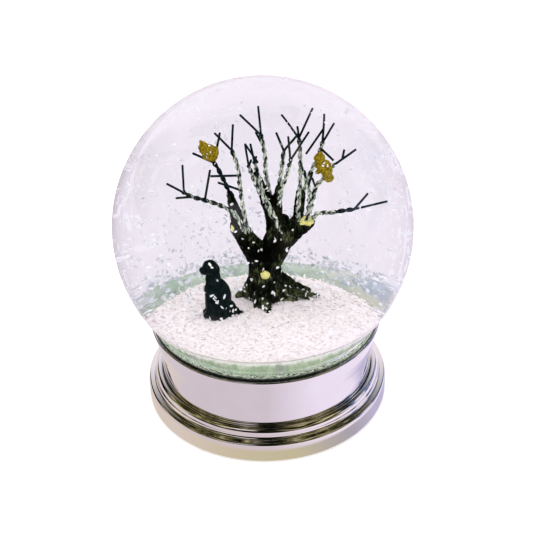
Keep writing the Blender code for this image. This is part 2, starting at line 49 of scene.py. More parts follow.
# Glass ball and base, as designed
BALL_RADIUS = 60.0
BALL_CENTRE = Vector((0.0, 0.0, 79.4))
CROWN_Z = BALL_CENTRE.z + BALL_RADIUS
GLASS_WALL = 2.4
NECK_RADIUS = 38.5
NECK_BOTTOM_Z = 18.0
COLLAR_RADIUS = 44.5
COLLAR_LIP_RADIUS = 47.9
COLLAR_TOP_Z = 37.8
COLLAR_BOTTOM_Z = 9.0
METAL_WALL = 0.9
FOOT_RADIUS = 50.8
FOOT_BOTTOM_Z = 0.4
PLINTH_TOP_Z = 45.9
PLINTH_FOOT_Z = 31.3
PLINTH_RADIUS = 31.5
PLINTH_FOOT_RADIUS = 33.5
MOUND_RADIUS = 30.8
MOUND_EDGE_Z = 46.6
MOUND_CROWN_Z = 50.6
MOUND_CENTRE = Vector((-1.0, -0.5, 0.0))

# Optics: the liquid fills the ball, so the inner wall bends light only from glass to liquid.
GLASS_IOR = 1.5
LIQUID_IOR = 1.34
WET_IOR = 1.5 / LIQUID_IOR      # resin, paint and enamel under the liquid, which dulls their shine

# Studio
PAPER = (0.92, 0.865, 0.965)    # the backdrop, as seen through the ball
ROOM = (0.075, 0.070, 0.060)    # the same where the metal mirrors the ball
AMBIENT = (0.84, 0.80, 0.83)    # light from all round on what is not a mirror
DAYLIGHT = (0.92, 0.88, 0.97)   # the bright half of the room, above and behind
WINDOW = (0.80, 0.78, 0.84)     # a panel at the front, to the left
FLOOR_SIZE = 3000.0

# Fineness of the meshes
TURNS = 256                     # facets round the glass and the metal
RING_TURNS = 320                # facets round the speckled bead
PLINTH_TURNS = 160
BALL_STEPS = 110                # from the crown to the neck
MOUND_RINGS = 74
MOUND_TURNS = 230
WIRE_SIDES = 8
WIRE_STEP = 0.35

# Wire
STRAND_RADIUS = 0.36
TWIST_RADIUS = 0.36             # from the stem's middle to a strand's middle
TWIST_PITCH = 5.6
FROST_THICKNESS = 0.03
ROOT_DEPTH = 1.2                # how far a stem goes into its limb

# Flakes
FLAKE_CORNERS = 7
GRAIN_COUNT = 5600
DRIFT_REACH = 50.5              # further out the glass would draw the flakes into streaks
DRIFT_FLOOR_Z = 41.0


# ---------------- node helpers

def node(tree, kind, inputs=None, **settings):
    """Add a shader node; an input may be a value or another node's output socket."""
    made = tree.nodes.new("ShaderNode" + kind)
    for key, value in settings.items():
        setattr(made, key, value)
    for key, value in (inputs or {}).items():
        if isinstance(value, bpy.types.NodeSocket):
            tree.links.new(value, made.inputs[key])
        else:
            made.inputs[key].default_value = value
    return made


def material(name, colour, roughness, **sockets):
    """A Principled material. Returns it with its tree and shader node."""
    made = bpy.data.materials.new(name)
    made.use_nodes = True
    tree = made.node_tree
    shader = tree.nodes["Principled BSDF"]
    shader.inputs["Base Color"].default_value = (*colour, 1.0)
    shader.inputs["Roughness"].default_value = roughness
    for key, value in sockets.items():
        shader.inputs[key.replace("_", " ")].default_value = value
    made.diffuse_color = (*colour, 1.0)
    return made, tree, shader


def place_of(tree, scale=(1.0, 1.0, 1.0)):
    """Object-space position in millimetres, stretched by scale."""
    where = node(tree, "TexCoord").outputs["Object"]
    factor = tuple(size / MM for size in scale)
    return node(tree, "VectorMath", {0: where, 1: factor}, operation="MULTIPLY").outputs[0]


def along_axis(tree, index):
    """Object-space coordinate in millimetres along one axis."""
    return node(tree, "SeparateXYZ", {0: place_of(tree)}).outputs[index]


def grain(tree, place, scale, detail=3.0, rough=0.55):
    return node(tree, "TexNoise", {"Vector": place, "Scale": scale, "Detail": detail,
                                             "Roughness": rough}).outputs["Fac"]


def ramp(tree, factor, stops):
    """Colour ramp over (position, colour) stops."""
    made = node(tree, "ValToRGB", {"Fac": factor})
    elements = made.color_ramp.elements
    while len(elements) < len(stops):
        elements.new(0.5)
    for element, (position, colour) in zip(elements, stops):
        element.position = position
        element.color = (*colour, 1.0)
    return made.outputs["Color"]


def spread(tree, factor, low, high, start=0.0, end=1.0):
    """Map factor's range low..high on to start..end, clamped."""
    return node(tree, "MapRange", {"Value": factor, "From Min": low, "From Max": high,
                                             "To Min": start, "To Max": end}).outputs["Result"]


def maths(tree, operation, first, second=0.0, third=0.0):
    return node(tree, "Math", {0: first, 1: second, 2: third}, operation=operation).outputs[0]


def roughen(tree, value, speckle, amount):
    """Add a noise, which runs about 0.5, to a value."""
    return maths(tree, "ADD", value, maths(tree, "MULTIPLY", maths(tree, "SUBTRACT", speckle, 0.5), amount))


def blend_colour(tree, factor, first, second):
    made = node(tree, "Mix", data_type="RGBA")
    for socket, value in (("Factor", factor), ("A", first), ("B", second)):
        target = [item for item in made.inputs if item.name == socket and item.enabled][0]
        if isinstance(value, bpy.types.NodeSocket):
            tree.links.new(value, target)
        else:
            target.default_value = value if isinstance(value, float) else (*value, 1.0)
    return [item for item in made.outputs if item.enabled][0]


def bump(tree, shader, height, strength, distance):
    """Bump of a height field; distance is in millimetres."""
    made = node(tree, "Bump", {"Height": height, "Strength": strength, "Distance": distance * MM})
    tree.links.new(made.outputs["Normal"], shader.inputs["Normal"])


def paint(tree, shader, colour=None, roughness=None):
    if colour is not None:
        tree.links.new(colour, shader.inputs["Base Color"])
    if roughness is not None:
        tree.links.new(roughness, shader.inputs["Roughness"])


# ---------------- materials

def mottled(name, colour, roughness, pattern, stops, gloss, relief, **sockets):
    """A material with one noise behind its tones, its roughness and its relief.

    Pattern is the noise's stretch, scale, detail and roughness; relief its strength and height.
    """
    made, tree, shader = material(name, colour, roughness, **sockets)
    stretch, *fineness = pattern
    speckle = grain(tree, place_of(tree, stretch), *fineness)
    paint(tree, shader, ramp(tree, speckle, stops), spread(tree, speckle, 0.3, 0.7, *gloss))
    bump(tree, shader, speckle, *relief)
    return made


def open_to_lamps(made, tree, shader):
    """Let shadow and diffuse rays straight through, so that lamps light what the ball holds."""
    path = node(tree, "LightPath")
    either = maths(tree, "MAXIMUM", path.outputs["Is Shadow Ray"], path.outputs["Is Diffuse Ray"])
    clear = node(tree, "BsdfTransparent")
    mix = node(tree, "MixShader", {0: either, 1: shader.outputs[0], 2: clear.outputs[0]})
    tree.links.new(mix.outputs[0], tree.nodes["Material Output"].inputs["Surface"])
    return made


def glass_materials():
    return [open_to_lamps(*material(name, (1.0, 1.0, 1.0), 0.0, Transmission_Weight=1.0, IOR=index))
            for name, index in (("glass_outside", GLASS_IOR), ("glass_to_liquid", GLASS_IOR / LIQUID_IOR))]


def chrome_material(name, low, high):
    """Plated metal: mirror finish with faint polishing haze and a barely warm cast in places."""
    made, tree, shader = material(name, high, 0.03, Metallic=1.0)
    haze = grain(tree, place_of(tree), 0.09, 4.0)
    cast = ramp(tree, haze, [(0.35, high), (0.65, low)])
    wipe = grain(tree, place_of(tree, (0.4, 0.4, 6.0)), 0.8, 5.0, 0.7)
    paint(tree, shader, cast, spread(tree, wipe, 0.35, 0.75, 0.02, 0.055))
    bump(tree, shader, wipe, 0.012, 0.008)
    return made


def bead_materials():
    """Sealing bead: sage resin with black and pale streaks round it, with painted shade darkening it
    towards the collar, most at the front and least at the right.

    The second finish is its calmer inner side, seen through the glass, with painted caustic light: pale at
    the right, with blue and amber clouds, where the ball would throw the light together.
    """
    made, tree, shader = material("sealing_bead", (0.10, 0.16, 0.11), 0.15)
    x, y, height = [along_axis(tree, index) for index in range(3)]
    angle = maths(tree, "ARCTAN2", y, x)
    round_it = node(tree, "CombineXYZ",
                    {0: maths(tree, "MULTIPLY", angle, 22.0), 1: maths(tree, "MULTIPLY", height, 1.9)})
    streaks = grain(tree, round_it.outputs[0], 1.0, 4.0, 0.65)
    specks = grain(tree, place_of(tree), 1.5, 2.0, 0.6)
    tone = ramp(tree, streaks, [(0.40, (0.004, 0.006, 0.004)), (0.45, (0.10, 0.16, 0.10)),
                                (0.52, (0.38, 0.48, 0.32)), (0.66, (0.76, 0.82, 0.64))])
    tone = blend_colour(tree, spread(tree, specks, 0.58, 0.62), tone, (0.96, 0.97, 0.94))
    # painted shade where the bead meets the collar lip: darkest at the front, fainter at the right and back
    painted_junction_shade = spread(tree, height, 40.2, 38.9)
    for fade in (spread(tree, x, 18.0, 36.0, 1.0, 0.2), spread(tree, y, 0.0, -30.0, 0.3, 1.0)):
        painted_junction_shade = maths(tree, "MULTIPLY", painted_junction_shade, fade)
    paint(tree, shader, blend_colour(tree, painted_junction_shade, tone, (0.015, 0.022, 0.016)),
          spread(tree, streaks, 0.3, 0.7, 0.10, 0.35))
    bump(tree, shader, streaks, 0.5, 0.4)

    inner, tree, shader = material("sealing_bead_inside", (0.40, 0.52, 0.42), 0.4)
    cloud = grain(tree, place_of(tree, (0.5, 0.5, 1.0)), 0.35, 3.0)
    calm = ramp(tree, cloud, [(0.35, (0.36, 0.50, 0.40)), (0.65, (0.60, 0.70, 0.60))])
    # painted caustic light: pale, blue and amber clouds, laid on mostly at the right
    painted_caustic = ramp(tree, grain(tree, place_of(tree, (0.3, 0.3, 1.0)), 0.5, 3.0, 0.6),
                  [(0.42, (0.50, 0.58, 0.80)), (0.50, (0.86, 0.84, 0.92)), (0.60, (0.98, 0.92, 0.78))])
    right = spread(tree, along_axis(tree, 0), 10.0, 28.0, 0.0, 0.95)
    paint(tree, shader, blend_colour(tree, right, calm, painted_caustic))
    return [made, inner]


def plinth_material():
    """Painted plinth: brushed sage green and worn grey in places. Its top is white, partly spilt snow
    and partly a painted highlight, and painted shade darkens it low down, in the neck of the glass.
    """
    made, tree, shader = material("plinth_green", (0.36, 0.47, 0.30), 0.4)
    coat = grain(tree, place_of(tree, (1.0, 1.0, 0.35)), 0.55, 5.0, 0.6)
    wear = grain(tree, place_of(tree, (0.6, 0.6, 0.2)), 0.16, 3.0)
    tone = ramp(tree, coat, [(0.30, (0.42, 0.60, 0.38)), (0.55, (0.62, 0.78, 0.52)),
                             (0.70, (0.82, 0.90, 0.68))])
    grey = ramp(tree, coat, [(0.30, (0.40, 0.46, 0.38)), (0.70, (0.80, 0.82, 0.76))])
    tone = blend_colour(tree, spread(tree, wear, 0.50, 0.60), tone, grey)
    ragged = maths(tree, "ADD", along_axis(tree, 2), maths(tree, "MULTIPLY", coat, 6.0))
    # painted shade: darker low down, where the plinth sits in the neck of the glass
    tone = blend_colour(tree, spread(tree, ragged, 43.5, 41.5, 0.0, 0.75), tone, (0.12, 0.18, 0.13))
    # white at the top: spilt snow, and a painted highlight
    tone = blend_colour(tree, spread(tree, ragged, 46.8, 48.4, 0.0, 0.9), tone, (0.97, 0.97, 0.94))
    paint(tree, shader, tone, spread(tree, coat, 0.3, 0.7, 0.3, 0.55))
    bump(tree, shader, coat, 0.15, 0.2)
    return made


def snow_material(name="snow", low=(0.90, 0.86, 0.87), high=(0.99, 0.955, 0.945)):
    """Packed white grains: small cool shadows between warm white chips."""
    made, tree, shader = material(name, high, 0.7, IOR=WET_IOR)
    place = place_of(tree)
    cells = node(tree, "TexVoronoi", {"Vector": place, "Scale": 1.35, "Randomness": 1.0})
    patches = maths(tree, "MULTIPLY", grain(tree, place, 0.35, 3.0), 0.5)
    mixed = maths(tree, "MULTIPLY_ADD", cells.outputs["Distance"], 0.75, patches)
    paint(tree, shader, ramp(tree, mixed, [(0.25, high), (0.85, low)]))
    bump(tree, shader, cells.outputs["Distance"], 0.2, 0.3)
    return made


def flake_material(name, low, high):
    """Thin plastic flakes: white, slightly glossy, no two quite alike in tone."""
    made, tree, shader = material(name, high, 0.35, IOR=WET_IOR)
    tone = ramp(tree, grain(tree, place_of(tree), 0.9, 2.0), [(0.35, low), (0.65, high)])
    paint(tree, shader, tone)
    return made


def bark_material():
    """Painted resin bark: near black in the grooves, olive and brown where the brush has caught it."""
    made, tree, shader = material("bark", (0.03, 0.03, 0.02), 0.55, IOR=WET_IOR)
    fibres = grain(tree, place_of(tree, (1.0, 1.0, 0.28)), 1.9, 6.0, 0.65)
    patches = grain(tree, place_of(tree), 0.16, 3.0)
    low = spread(tree, along_axis(tree, 2), 56.0, 51.0, -0.09, -0.02)
    brushed = maths(tree, "MULTIPLY_ADD", patches, 0.62, low)
    paintwork = maths(tree, "MULTIPLY_ADD", fibres, 0.62, brushed)
    tone = ramp(tree, paintwork, [(0.46, (0.0002, 0.0005, 0.0003)), (0.55, (0.0012, 0.0026, 0.0012)),
                                  (0.61, (0.018, 0.026, 0.010)), (0.69, (0.12, 0.145, 0.065))])
    sawn = node(tree, "Attribute", attribute_name="sawn").outputs["Fac"]
    rings = grain(tree, place_of(tree), 2.2, 3.0)
    wood = ramp(tree, rings, [(0.35, (0.70, 0.66, 0.17)), (0.6, (0.92, 0.90, 0.38))])
    mask = spread(tree, roughen(tree, sawn, rings, 0.4), 0.47, 0.53)
    paint(tree, shader, blend_colour(tree, mask, tone, wood), spread(tree, fibres, 0.3, 0.7, 0.35, 0.65))
    bump(tree, shader, fibres, 0.6, 0.35)
    return made


def wire_material():
    """Dark blue-green enamelled wire, frosted with pale grey-green in patches along the stems."""
    made, tree, shader = material("dark_wire", (0.006, 0.014, 0.018), 0.35, IOR=WET_IOR)
    frost = node(tree, "Attribute", attribute_name="frost").outputs["Fac"]
    clumps = grain(tree, place_of(tree, (1.0, 1.0, 0.55)), 0.75, 3.0, 0.6)
    fine = grain(tree, place_of(tree, (1.0, 1.0, 0.45)), 1.7, 3.0, 0.6)
    enamel = ramp(tree, fine, [(0.35, (0.0010, 0.0040, 0.0055)), (0.65, (0.006, 0.020, 0.023))])
    coat = ramp(tree, fine, [(0.36, (0.14, 0.21, 0.18)), (0.48, (0.42, 0.49, 0.40)),
                             (0.60, (0.80, 0.82, 0.70))])
    patchy = roughen(tree, frost, clumps, 2.0)
    mask = spread(tree, patchy, 0.62, 0.86)
    paint(tree, shader, blend_colour(tree, mask, enamel, coat), spread(tree, patchy, 0.3, 0.7, 0.30, 0.65))
    bump(tree, shader, clumps, 0.25, 0.12)
    return made


def dog_material():
    """Black-green resin with a soft satin shine and a modelled coat."""
    return mottled("black_resin", (0.006, 0.012, 0.012), 0.3, ((1.0, 1.0, 0.45), 1.1, 4.0, 0.6),
                   [(0.35, (0.0012, 0.0042, 0.0045)), (0.65, (0.006, 0.016, 0.015))],
                   (0.24, 0.45), (0.3, 0.25), IOR=WET_IOR)


def squirrel_material():
    """Golden olive-brown fur, darker in the hollows."""
    return mottled("golden_resin", (0.30, 0.19, 0.02), 0.5, ((1.0, 1.0, 1.0), 1.5, 4.0, 0.65),
                   [(0.34, (0.07, 0.050, 0.003)), (0.50, (0.24, 0.175, 0.005)),
                    (0.66, (0.46, 0.33, 0.020))],
                   (0.35, 0.6), (0.5, 0.3), IOR=WET_IOR)


def plain_finish(name, low, high, scale, roughness, height, metallic=0.0):
    """A grained finish for the pieces under the metal: two tones, rough spots and a fine bump."""
    return mottled(name, high, roughness, ((1.0, 1.0, 1.0), scale, 4.0, 0.6), [(0.35, low), (0.65, high)],
                   (roughness * 0.85, min(1.0, roughness * 1.1)), (0.3, height), Metallic=metallic)


# ---------------- mesh helpers

def piece(name, shape, finishes, replaced=(), crease=None):
    """Link a mesh, or bmesh geometry, as a piece of the object, and return its mesh.

    Replaced names the design's nodes that it stands for.
    """
    mesh = to_mesh(name, shape, crease) if isinstance(shape, bmesh.types.BMesh) else shape
    made = bpy.data.objects.new(name, mesh)
    bpy.context.collection.objects.link(made)
    mesh.materials.clear()
    for finish in finishes if isinstance(finishes, list) else [finishes]:
        mesh.materials.append(finish)
    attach(made, "root")
    if replaced:
        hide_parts(*replaced)
    return mesh


def to_mesh(name, body, crease=None):
    """Turn bmesh geometry in millimetres into a smooth-shaded mesh in metres."""
    bmesh.ops.recalc_face_normals(body, faces=body.faces)
    bmesh.ops.scale(body, vec=(MM, MM, MM), verts=body.verts)
    mesh = bpy.data.meshes.new(name)
    body.to_mesh(mesh)
    body.free()
    mesh.shade_smooth()
    if crease is not None:
        mesh.set_sharp_from_angle(angle=radians(crease))
    return mesh


def rounded(points, reach=0.5, steps=4):
    """An open profile with each inner corner eased by a short curve of about the given reach."""
    points = [Vector(point) for point in points]
    eased = [points[0]]
    for before, corner, after in zip(points, points[1:], points[2:]):
        back, ahead = before - corner, after - corner
        size = min(reach, back.length * 0.45, ahead.length * 0.45)
        start, end = corner + back.normalized() * size, corner + ahead.normalized() * size
        for step in range(steps + 1):
            part = step / steps
            eased.append(start.lerp(corner, part).lerp(corner.lerp(end, part), part))
    eased.append(points[-1])
    return eased


def skin(body, loops, sides):
    """Faces between neighbouring loops of vertices; a loop of one vertex closes an end."""
    for upper, lower in zip(loops, loops[1:]):
        for step in range(sides):
            after = (step + 1) % sides
            corners = [upper[step % len(upper)], upper[after % len(upper)],
                       lower[after % len(lower)], lower[step % len(lower)]]
            body.faces.new(list(dict.fromkeys(corners)))


def turned(profile, closed=False, centre=(0.0, 0.0), sides=TURNS):
    """Revolve (radius, height) points about a vertical axis into a bmesh."""
    body = bmesh.new()
    loops = []
    for radius, height in profile:
        if radius == 0.0:
            loops.append([body.verts.new((centre[0], centre[1], height))])
            continue
        loop = []
        for step in range(sides):
            turn = 2.0 * pi * step / sides
            x, y = centre[0] + radius * cos(turn), centre[1] + radius * sin(turn)
            loop.append(body.verts.new((x, y, height)))
        loops.append(loop)
    if closed:
        loops.append(loops[0])
    skin(body, loops, sides)
    return body


def ball_arc(radius, neck_radius):
    """Profile from the crown of the ball down to where it meets its neck."""
    end = pi - acos(sqrt(radius ** 2 - neck_radius ** 2) / radius)
    arc = [(0.0, BALL_CENTRE.z + radius)]
    for step in range(1, BALL_STEPS + 1):
        turn = end * step / BALL_STEPS
        arc.append((radius * sin(turn), BALL_CENTRE.z + radius * cos(turn)))
    return arc


def curve_through(points, step):
    """A smooth curve (Catmull-Rom) through points, sampled about every step."""
    points = [Vector(point) for point in points]
    ends = [points[0] * 2.0 - points[1]] + points + [points[-1] * 2.0 - points[-2]]
    samples = [points[0]]
    for a, b, c, d in zip(ends, ends[1:], ends[2:], ends[3:]):
        count = max(2, round((c - b).length / step))
        for index in range(1, count + 1):
            t = index / count
            samples.append(0.5 * (2.0 * b + (c - a) * t + (2.0 * a - 5.0 * b + 4.0 * c - d) * t ** 2
                                  + (3.0 * b - a - 3.0 * c + d) * t ** 3))
    return samples


def frames(points):
    """A (point, side, across) frame at each point, turned as little as possible along the way."""
    made = []
    side = Vector((0.0, 1.0, 0.1)).normalized()
    for index, point in enumerate(points):
        along = (points[min(index + 1, len(points) - 1)] - points[max(index - 1, 0)]).normalized()
        side = (side - along * side.dot(along)).normalized()
        made.append((point, side, along.cross(side)))
    return made


def tube(body, points, radii, marks, layer, hidden=None):
    """Add a closed round wire through points to body; marks go to the vertex layer.

    Hidden directions, if given, are where each point touches its partner, or faces down: the mark fades
    there, partly as thinner frost and partly as painted shade between the strands and under the twigs.
    """
    rings = []
    for index, ((point, side, across), radius, mark) in enumerate(zip(frames(points), radii, marks)):
        ring = []
        for step in range(WIRE_SIDES):
            turn = 2.0 * pi * step / WIRE_SIDES
            outward = side * cos(turn) + across * sin(turn)
            vertex = body.verts.new(point + outward * radius)
            # painted shade: the frost mark fades where the strands touch and on the twigs' undersides
            vertex[layer] = mark - 0.5 * mark * max(0.0, outward.dot(hidden[index])) if hidden else mark
            ring.append(vertex)
        rings.append(ring)
    for first, second in zip(rings, rings[1:]):
        for step in range(WIRE_SIDES):
            after = (step + 1) % WIRE_SIDES
            body.faces.new((first[step], first[after], second[after], second[step]))
    body.faces.new(rings[0][::-1])
    body.faces.new(rings[-1])


def chain(points, spacing=0.3):
    """Balls along a limb: points are (x, y, z, radius), joined by straight tapered runs."""
    balls = []
    for (*start, first), (*end, last) in zip(points, points[1:]):
        start, end = Vector(start), Vector(end)
        count = max(2, int((end - start).length / (spacing * min(first, last))))
        for step in range(count + 1):
            part = step / count
            radius = first + (last - first) * part
            balls.append((start.lerp(end, part), (radius, radius, radius), 0.0))
    return balls


def moulded(name, balls, voxel, passes):
    """One smooth skin over a set of ellipsoids (centre, radii, tilt about Y), as a mesh."""
    body = bmesh.new()
    for centre, radii, tilt in balls:
        place = Matrix.Translation(Vector(centre) * MM)
        place = place @ Matrix.Rotation(radians(tilt), 4, "Y")
        place = place @ Matrix.Diagonal((*[size * MM for size in radii], 1.0))
        bmesh.ops.create_icosphere(body, subdivisions=3, radius=1.0, matrix=place)
    rough = bpy.data.meshes.new(name + "_rough")
    body.to_mesh(rough)
    body.free()
    maker = bpy.data.objects.new(name + "_maker", rough)
    bpy.context.collection.objects.link(maker)
    cover = maker.modifiers.new("cover", "REMESH")
    cover.mode = "VOXEL"
    cover.voxel_size = voxel * MM
    relax = maker.modifiers.new("relax", "SMOOTH")
    relax.factor = 0.5
    relax.iterations = passes
    graph = bpy.context.evaluated_depsgraph_get()
    mesh = bpy.data.meshes.new_from_object(maker.evaluated_get(graph))
    mesh.name = name
    bpy.data.objects.remove(maker)
    bpy.data.meshes.remove(rough)
    mesh.shade_smooth()
    return mesh


def swell(mesh, amount):
    """Move each vertex along its normal by amount(point in mm), in millimetres."""
    moves = [amount(vertex.co / MM) * MM * vertex.normal for vertex in mesh.vertices]
    for vertex, move in zip(mesh.vertices, moves):
        vertex.co += move


def flake(body, centre, normal, size, dice, finish=0):
    """Add one thin flake: an irregular oval with a slightly raised middle on both faces."""
    normal = normal.normalized()
    side = normal.orthogonal().normalized()
    side.rotate(Matrix.Rotation(dice.uniform(0.0, 2.0 * pi), 3, normal))
    across = normal.cross(side)
    length, width = size * dice.uniform(0.9, 1.25), size * dice.uniform(0.5, 0.8)
    thick = size * 0.22
    rim = []
    for corner in range(FLAKE_CORNERS):
        turn = 2.0 * pi * (corner + dice.uniform(-0.3, 0.3)) / FLAKE_CORNERS
        reach = dice.uniform(0.85, 1.1)
        rim.append(body.verts.new(centre + side * cos(turn) * length * reach
                                  + across * sin(turn) * width * reach))
    top = body.verts.new(centre + normal * thick)
    bottom = body.verts.new(centre - normal * thick)
    for corner in range(FLAKE_CORNERS):
        after = (corner + 1) % FLAKE_CORNERS
        body.faces.new((rim[corner], rim[after], top)).material_index = finish
        body.faces.new((rim[after], rim[corner], bottom)).material_index = finish


def any_direction(dice):
    height = dice.uniform(-1.0, 1.0)
    turn = dice.uniform(0.0, 2.0 * pi)
    flat = sqrt(1.0 - height ** 2)
    return Vector((flat * cos(turn), flat * sin(turn), height))


# ---------------- glass, liquid and base

def build_glass():
    outside = ball_arc(BALL_RADIUS, NECK_RADIUS)
    inside = ball_arc(BALL_RADIUS - GLASS_WALL, NECK_RADIUS - GLASS_WALL)
    outside.append((NECK_RADIUS, NECK_BOTTOM_Z + 1.5))
    rim = [(NECK_RADIUS + 0.6, NECK_BOTTOM_Z), (NECK_RADIUS - GLASS_WALL, NECK_BOTTOM_Z)]
    mesh = piece("glass_shell", turned(outside + rim + inside[::-1]), glass_materials(),
                 ["glass_globe"], 40.0)
    middle = BALL_RADIUS - GLASS_WALL / 2.0
    neck_middle = NECK_RADIUS - GLASS_WALL / 2.0
    for face in mesh.polygons:
        spot = face.center / MM
        flat = sqrt(spot.x ** 2 + spot.y ** 2)
        in_neck = spot.z < BALL_CENTRE.z and flat < NECK_RADIUS + 0.7 and spot.z < COLLAR_TOP_Z - 2.0
        within = flat < neck_middle if in_neck else (spot - BALL_CENTRE).length < middle
        face.material_index = 1 if within else 0


def build_metal():
    collar_finish = chrome_material("collar_metal", (0.86, 0.83, 0.84), (0.87, 0.86, 0.88))
    foot_finish = chrome_material("foot_metal", (0.85, 0.81, 0.76), (0.87, 0.84, 0.81))
    lip = COLLAR_LIP_RADIUS
    flare = [(46.8, 33.0), (45.85, 29.0), (45.1, 25.0), (44.65, 21.0), (COLLAR_RADIUS, 17.0)]
    outside = [(lip - 0.4, COLLAR_TOP_Z), (lip, COLLAR_TOP_Z - 0.4), *flare,
               (COLLAR_RADIUS, COLLAR_BOTTOM_Z)]
    inside = [(radius - METAL_WALL, height) for radius, height in outside[:1:-1]]
    inside.append((lip - METAL_WALL - 0.3, COLLAR_TOP_Z))
    profile = rounded(outside, 1.8, 6) + rounded(inside, 1.6, 3)
    piece("collar_skin", turned(profile, closed=True), collar_finish,
          ["collar_band"], 50.0)

    hole = COLLAR_RADIUS + 0.15
    outside = [(hole, 13.4), (45.3, 14.1), (46.3, 13.9), (47.2, 13.1), (47.6, 12.0), (47.6, 10.6),
               (48.0, 9.7), (48.8, 9.3), (49.9, 9.1), (50.6, 8.6), (FOOT_RADIUS, 7.6), (FOOT_RADIUS, 1.0),
               (FOOT_RADIUS - 0.4, FOOT_BOTTOM_Z)]
    inside = [(FOOT_RADIUS - 1.2, FOOT_BOTTOM_Z), (FOOT_RADIUS - 1.2, 7.2), (47.6, 8.0), (46.6, 9.2),
              (hole, 12.0)]
    profile = rounded(outside, 0.6, 5) + rounded(inside, 0.4, 2)
    piece("foot_skin", turned(profile, closed=True), foot_finish, ["foot_ring"], 50.0)


def build_seal():
    """The bead between collar and glass, a little uneven, as squeezed resin is."""
    section = [(46.75, 40.9), (46.9, 39.2), (46.4, 37.9), (45.7, 36.0), (44.4, 33.0), (43.5, 31.0),
               (40.2, 31.2), (38.9, 32.6)]
    for height in (33.4, 35.5, 37.5, 39.4):
        section.append((sqrt(BALL_RADIUS ** 2 - (height - BALL_CENTRE.z) ** 2) + 0.1, height))
    profile = rounded(section + section[:1], 0.5, 3)[:-1]
    mesh = to_mesh("bead_skin", turned(profile, closed=True, sides=RING_TURNS))
    swell(mesh, lambda spot: 0.09 * noise.noise(spot * 0.7))
    piece("bead_skin", mesh, bead_materials(), ["globe_seal"])
    for face in mesh.polygons:
        against_glass = (face.center / MM - BALL_CENTRE).length < BALL_RADIUS + 0.4
        face.material_index = 1 if against_glass else 0


def build_plinth():
    profile = [(0.0, PLINTH_TOP_Z), (PLINTH_RADIUS - 0.6, PLINTH_TOP_Z),
               (PLINTH_RADIUS, PLINTH_TOP_Z - 0.8), (PLINTH_RADIUS + 0.5, 42.0),
               (PLINTH_FOOT_RADIUS, PLINTH_FOOT_Z), (0.0, PLINTH_FOOT_Z)]
    body = turned(rounded(profile, 0.6, 4), centre=MOUND_CENTRE.xy, sides=PLINTH_TURNS)
    piece("plinth_skin", body, plinth_material(), ["scene_plinth"], 50.0)


# ---------------- snow

def snow_height(x, y):
    """Height of the snow at a place, with soft drifts and small lumps."""
    offset = Vector((x, y, 0.0)) - MOUND_CENTRE
    part = min(offset.length / MOUND_RADIUS, 1.0)
    fall = (MOUND_CROWN_Z - MOUND_EDGE_Z) * part ** 2
    drifts = 0.35 * noise.noise(Vector((x, y, 3.0)) * 0.13) * (1.0 - part ** 4)
    lumps = 0.22 * noise.noise(Vector((x, y, 7.0)) * 0.9) + 0.10 * noise.noise(Vector((x, y, 1.0)) * 2.3)
    return MOUND_CROWN_Z - fall + drifts + lumps


def build_snow(finish, loose):
    body = bmesh.new()
    centre = MOUND_CENTRE
    loops = [[body.verts.new((centre.x, centre.y, snow_height(centre.x, centre.y)))]]
    for ring in range(1, MOUND_RINGS + 1):
        loop = []
        for step in range(MOUND_TURNS):
            turn = 2.0 * pi * step / MOUND_TURNS
            edge = 1.0 + 0.012 * noise.noise(Vector((cos(turn), sin(turn), 0.0)) * 9.0)
            radius = MOUND_RADIUS * edge * ring / MOUND_RINGS
            x, y = centre.x + radius * cos(turn), centre.y + radius * sin(turn)
            loop.append(body.verts.new((x, y, snow_height(x, y))))
        loops.append(loop)
    skirt = []
    for vertex in loops[-1]:
        inward = (centre - vertex.co).xy.normalized() * 0.35
        skirt.append(body.verts.new((vertex.co.x + inward.x, vertex.co.y + inward.y, PLINTH_TOP_Z + 0.1)))
    loops += [skirt, [body.verts.new((centre.x, centre.y, PLINTH_TOP_Z + 0.1))]]
    skin(body, loops, MOUND_TURNS)
    piece("snow_bed", body, finish, ["snow_mound"], 60.0)

    dice = random.Random(11)
    body = bmesh.new()
    for _ in range(GRAIN_COUNT):
        radius = MOUND_RADIUS * sqrt(dice.random()) * 1.01
        turn = dice.uniform(0.0, 2.0 * pi)
        x, y = centre.x + radius * cos(turn), centre.y + radius * sin(turn)
        lean = any_direction(dice) + Vector((0.0, 0.0, 1.9))
        spot = Vector((x, y, snow_height(x, y) + dice.uniform(-0.05, 0.2)))
        flake(body, spot, lean, dice.uniform(0.32, 0.62), dice)
    piece("snow_grains", body, loose, crease=20.0)


def drift(body, count, spread_out, size, kinds, dice):
    """Hang flakes in the liquid: spread_out(place) is the chance of keeping one drawn at a place."""
    placed = 0
    while placed < count:
        offset = Vector([dice.uniform(-DRIFT_REACH, DRIFT_REACH) for _ in range(3)])
        spot = BALL_CENTRE + offset
        lift = spot.z - snow_height(spot.x, spot.y)
        over_snow = (spot.xy - MOUND_CENTRE.xy).length < MOUND_RADIUS + 1.0
        in_tree = (spot.xy - Vector((1.0, 10.5))).length < 8.0 and spot.z < 84.0
        in_snow = over_snow and lift < 0.8
        if offset.length > DRIFT_REACH or in_snow or spot.z < DRIFT_FLOOR_Z or in_tree:
            continue
        if dice.random() > spread_out(spot):
            continue
        flake(body, spot, any_direction(dice), dice.uniform(*size), dice, dice.choice(kinds))
        placed += 1


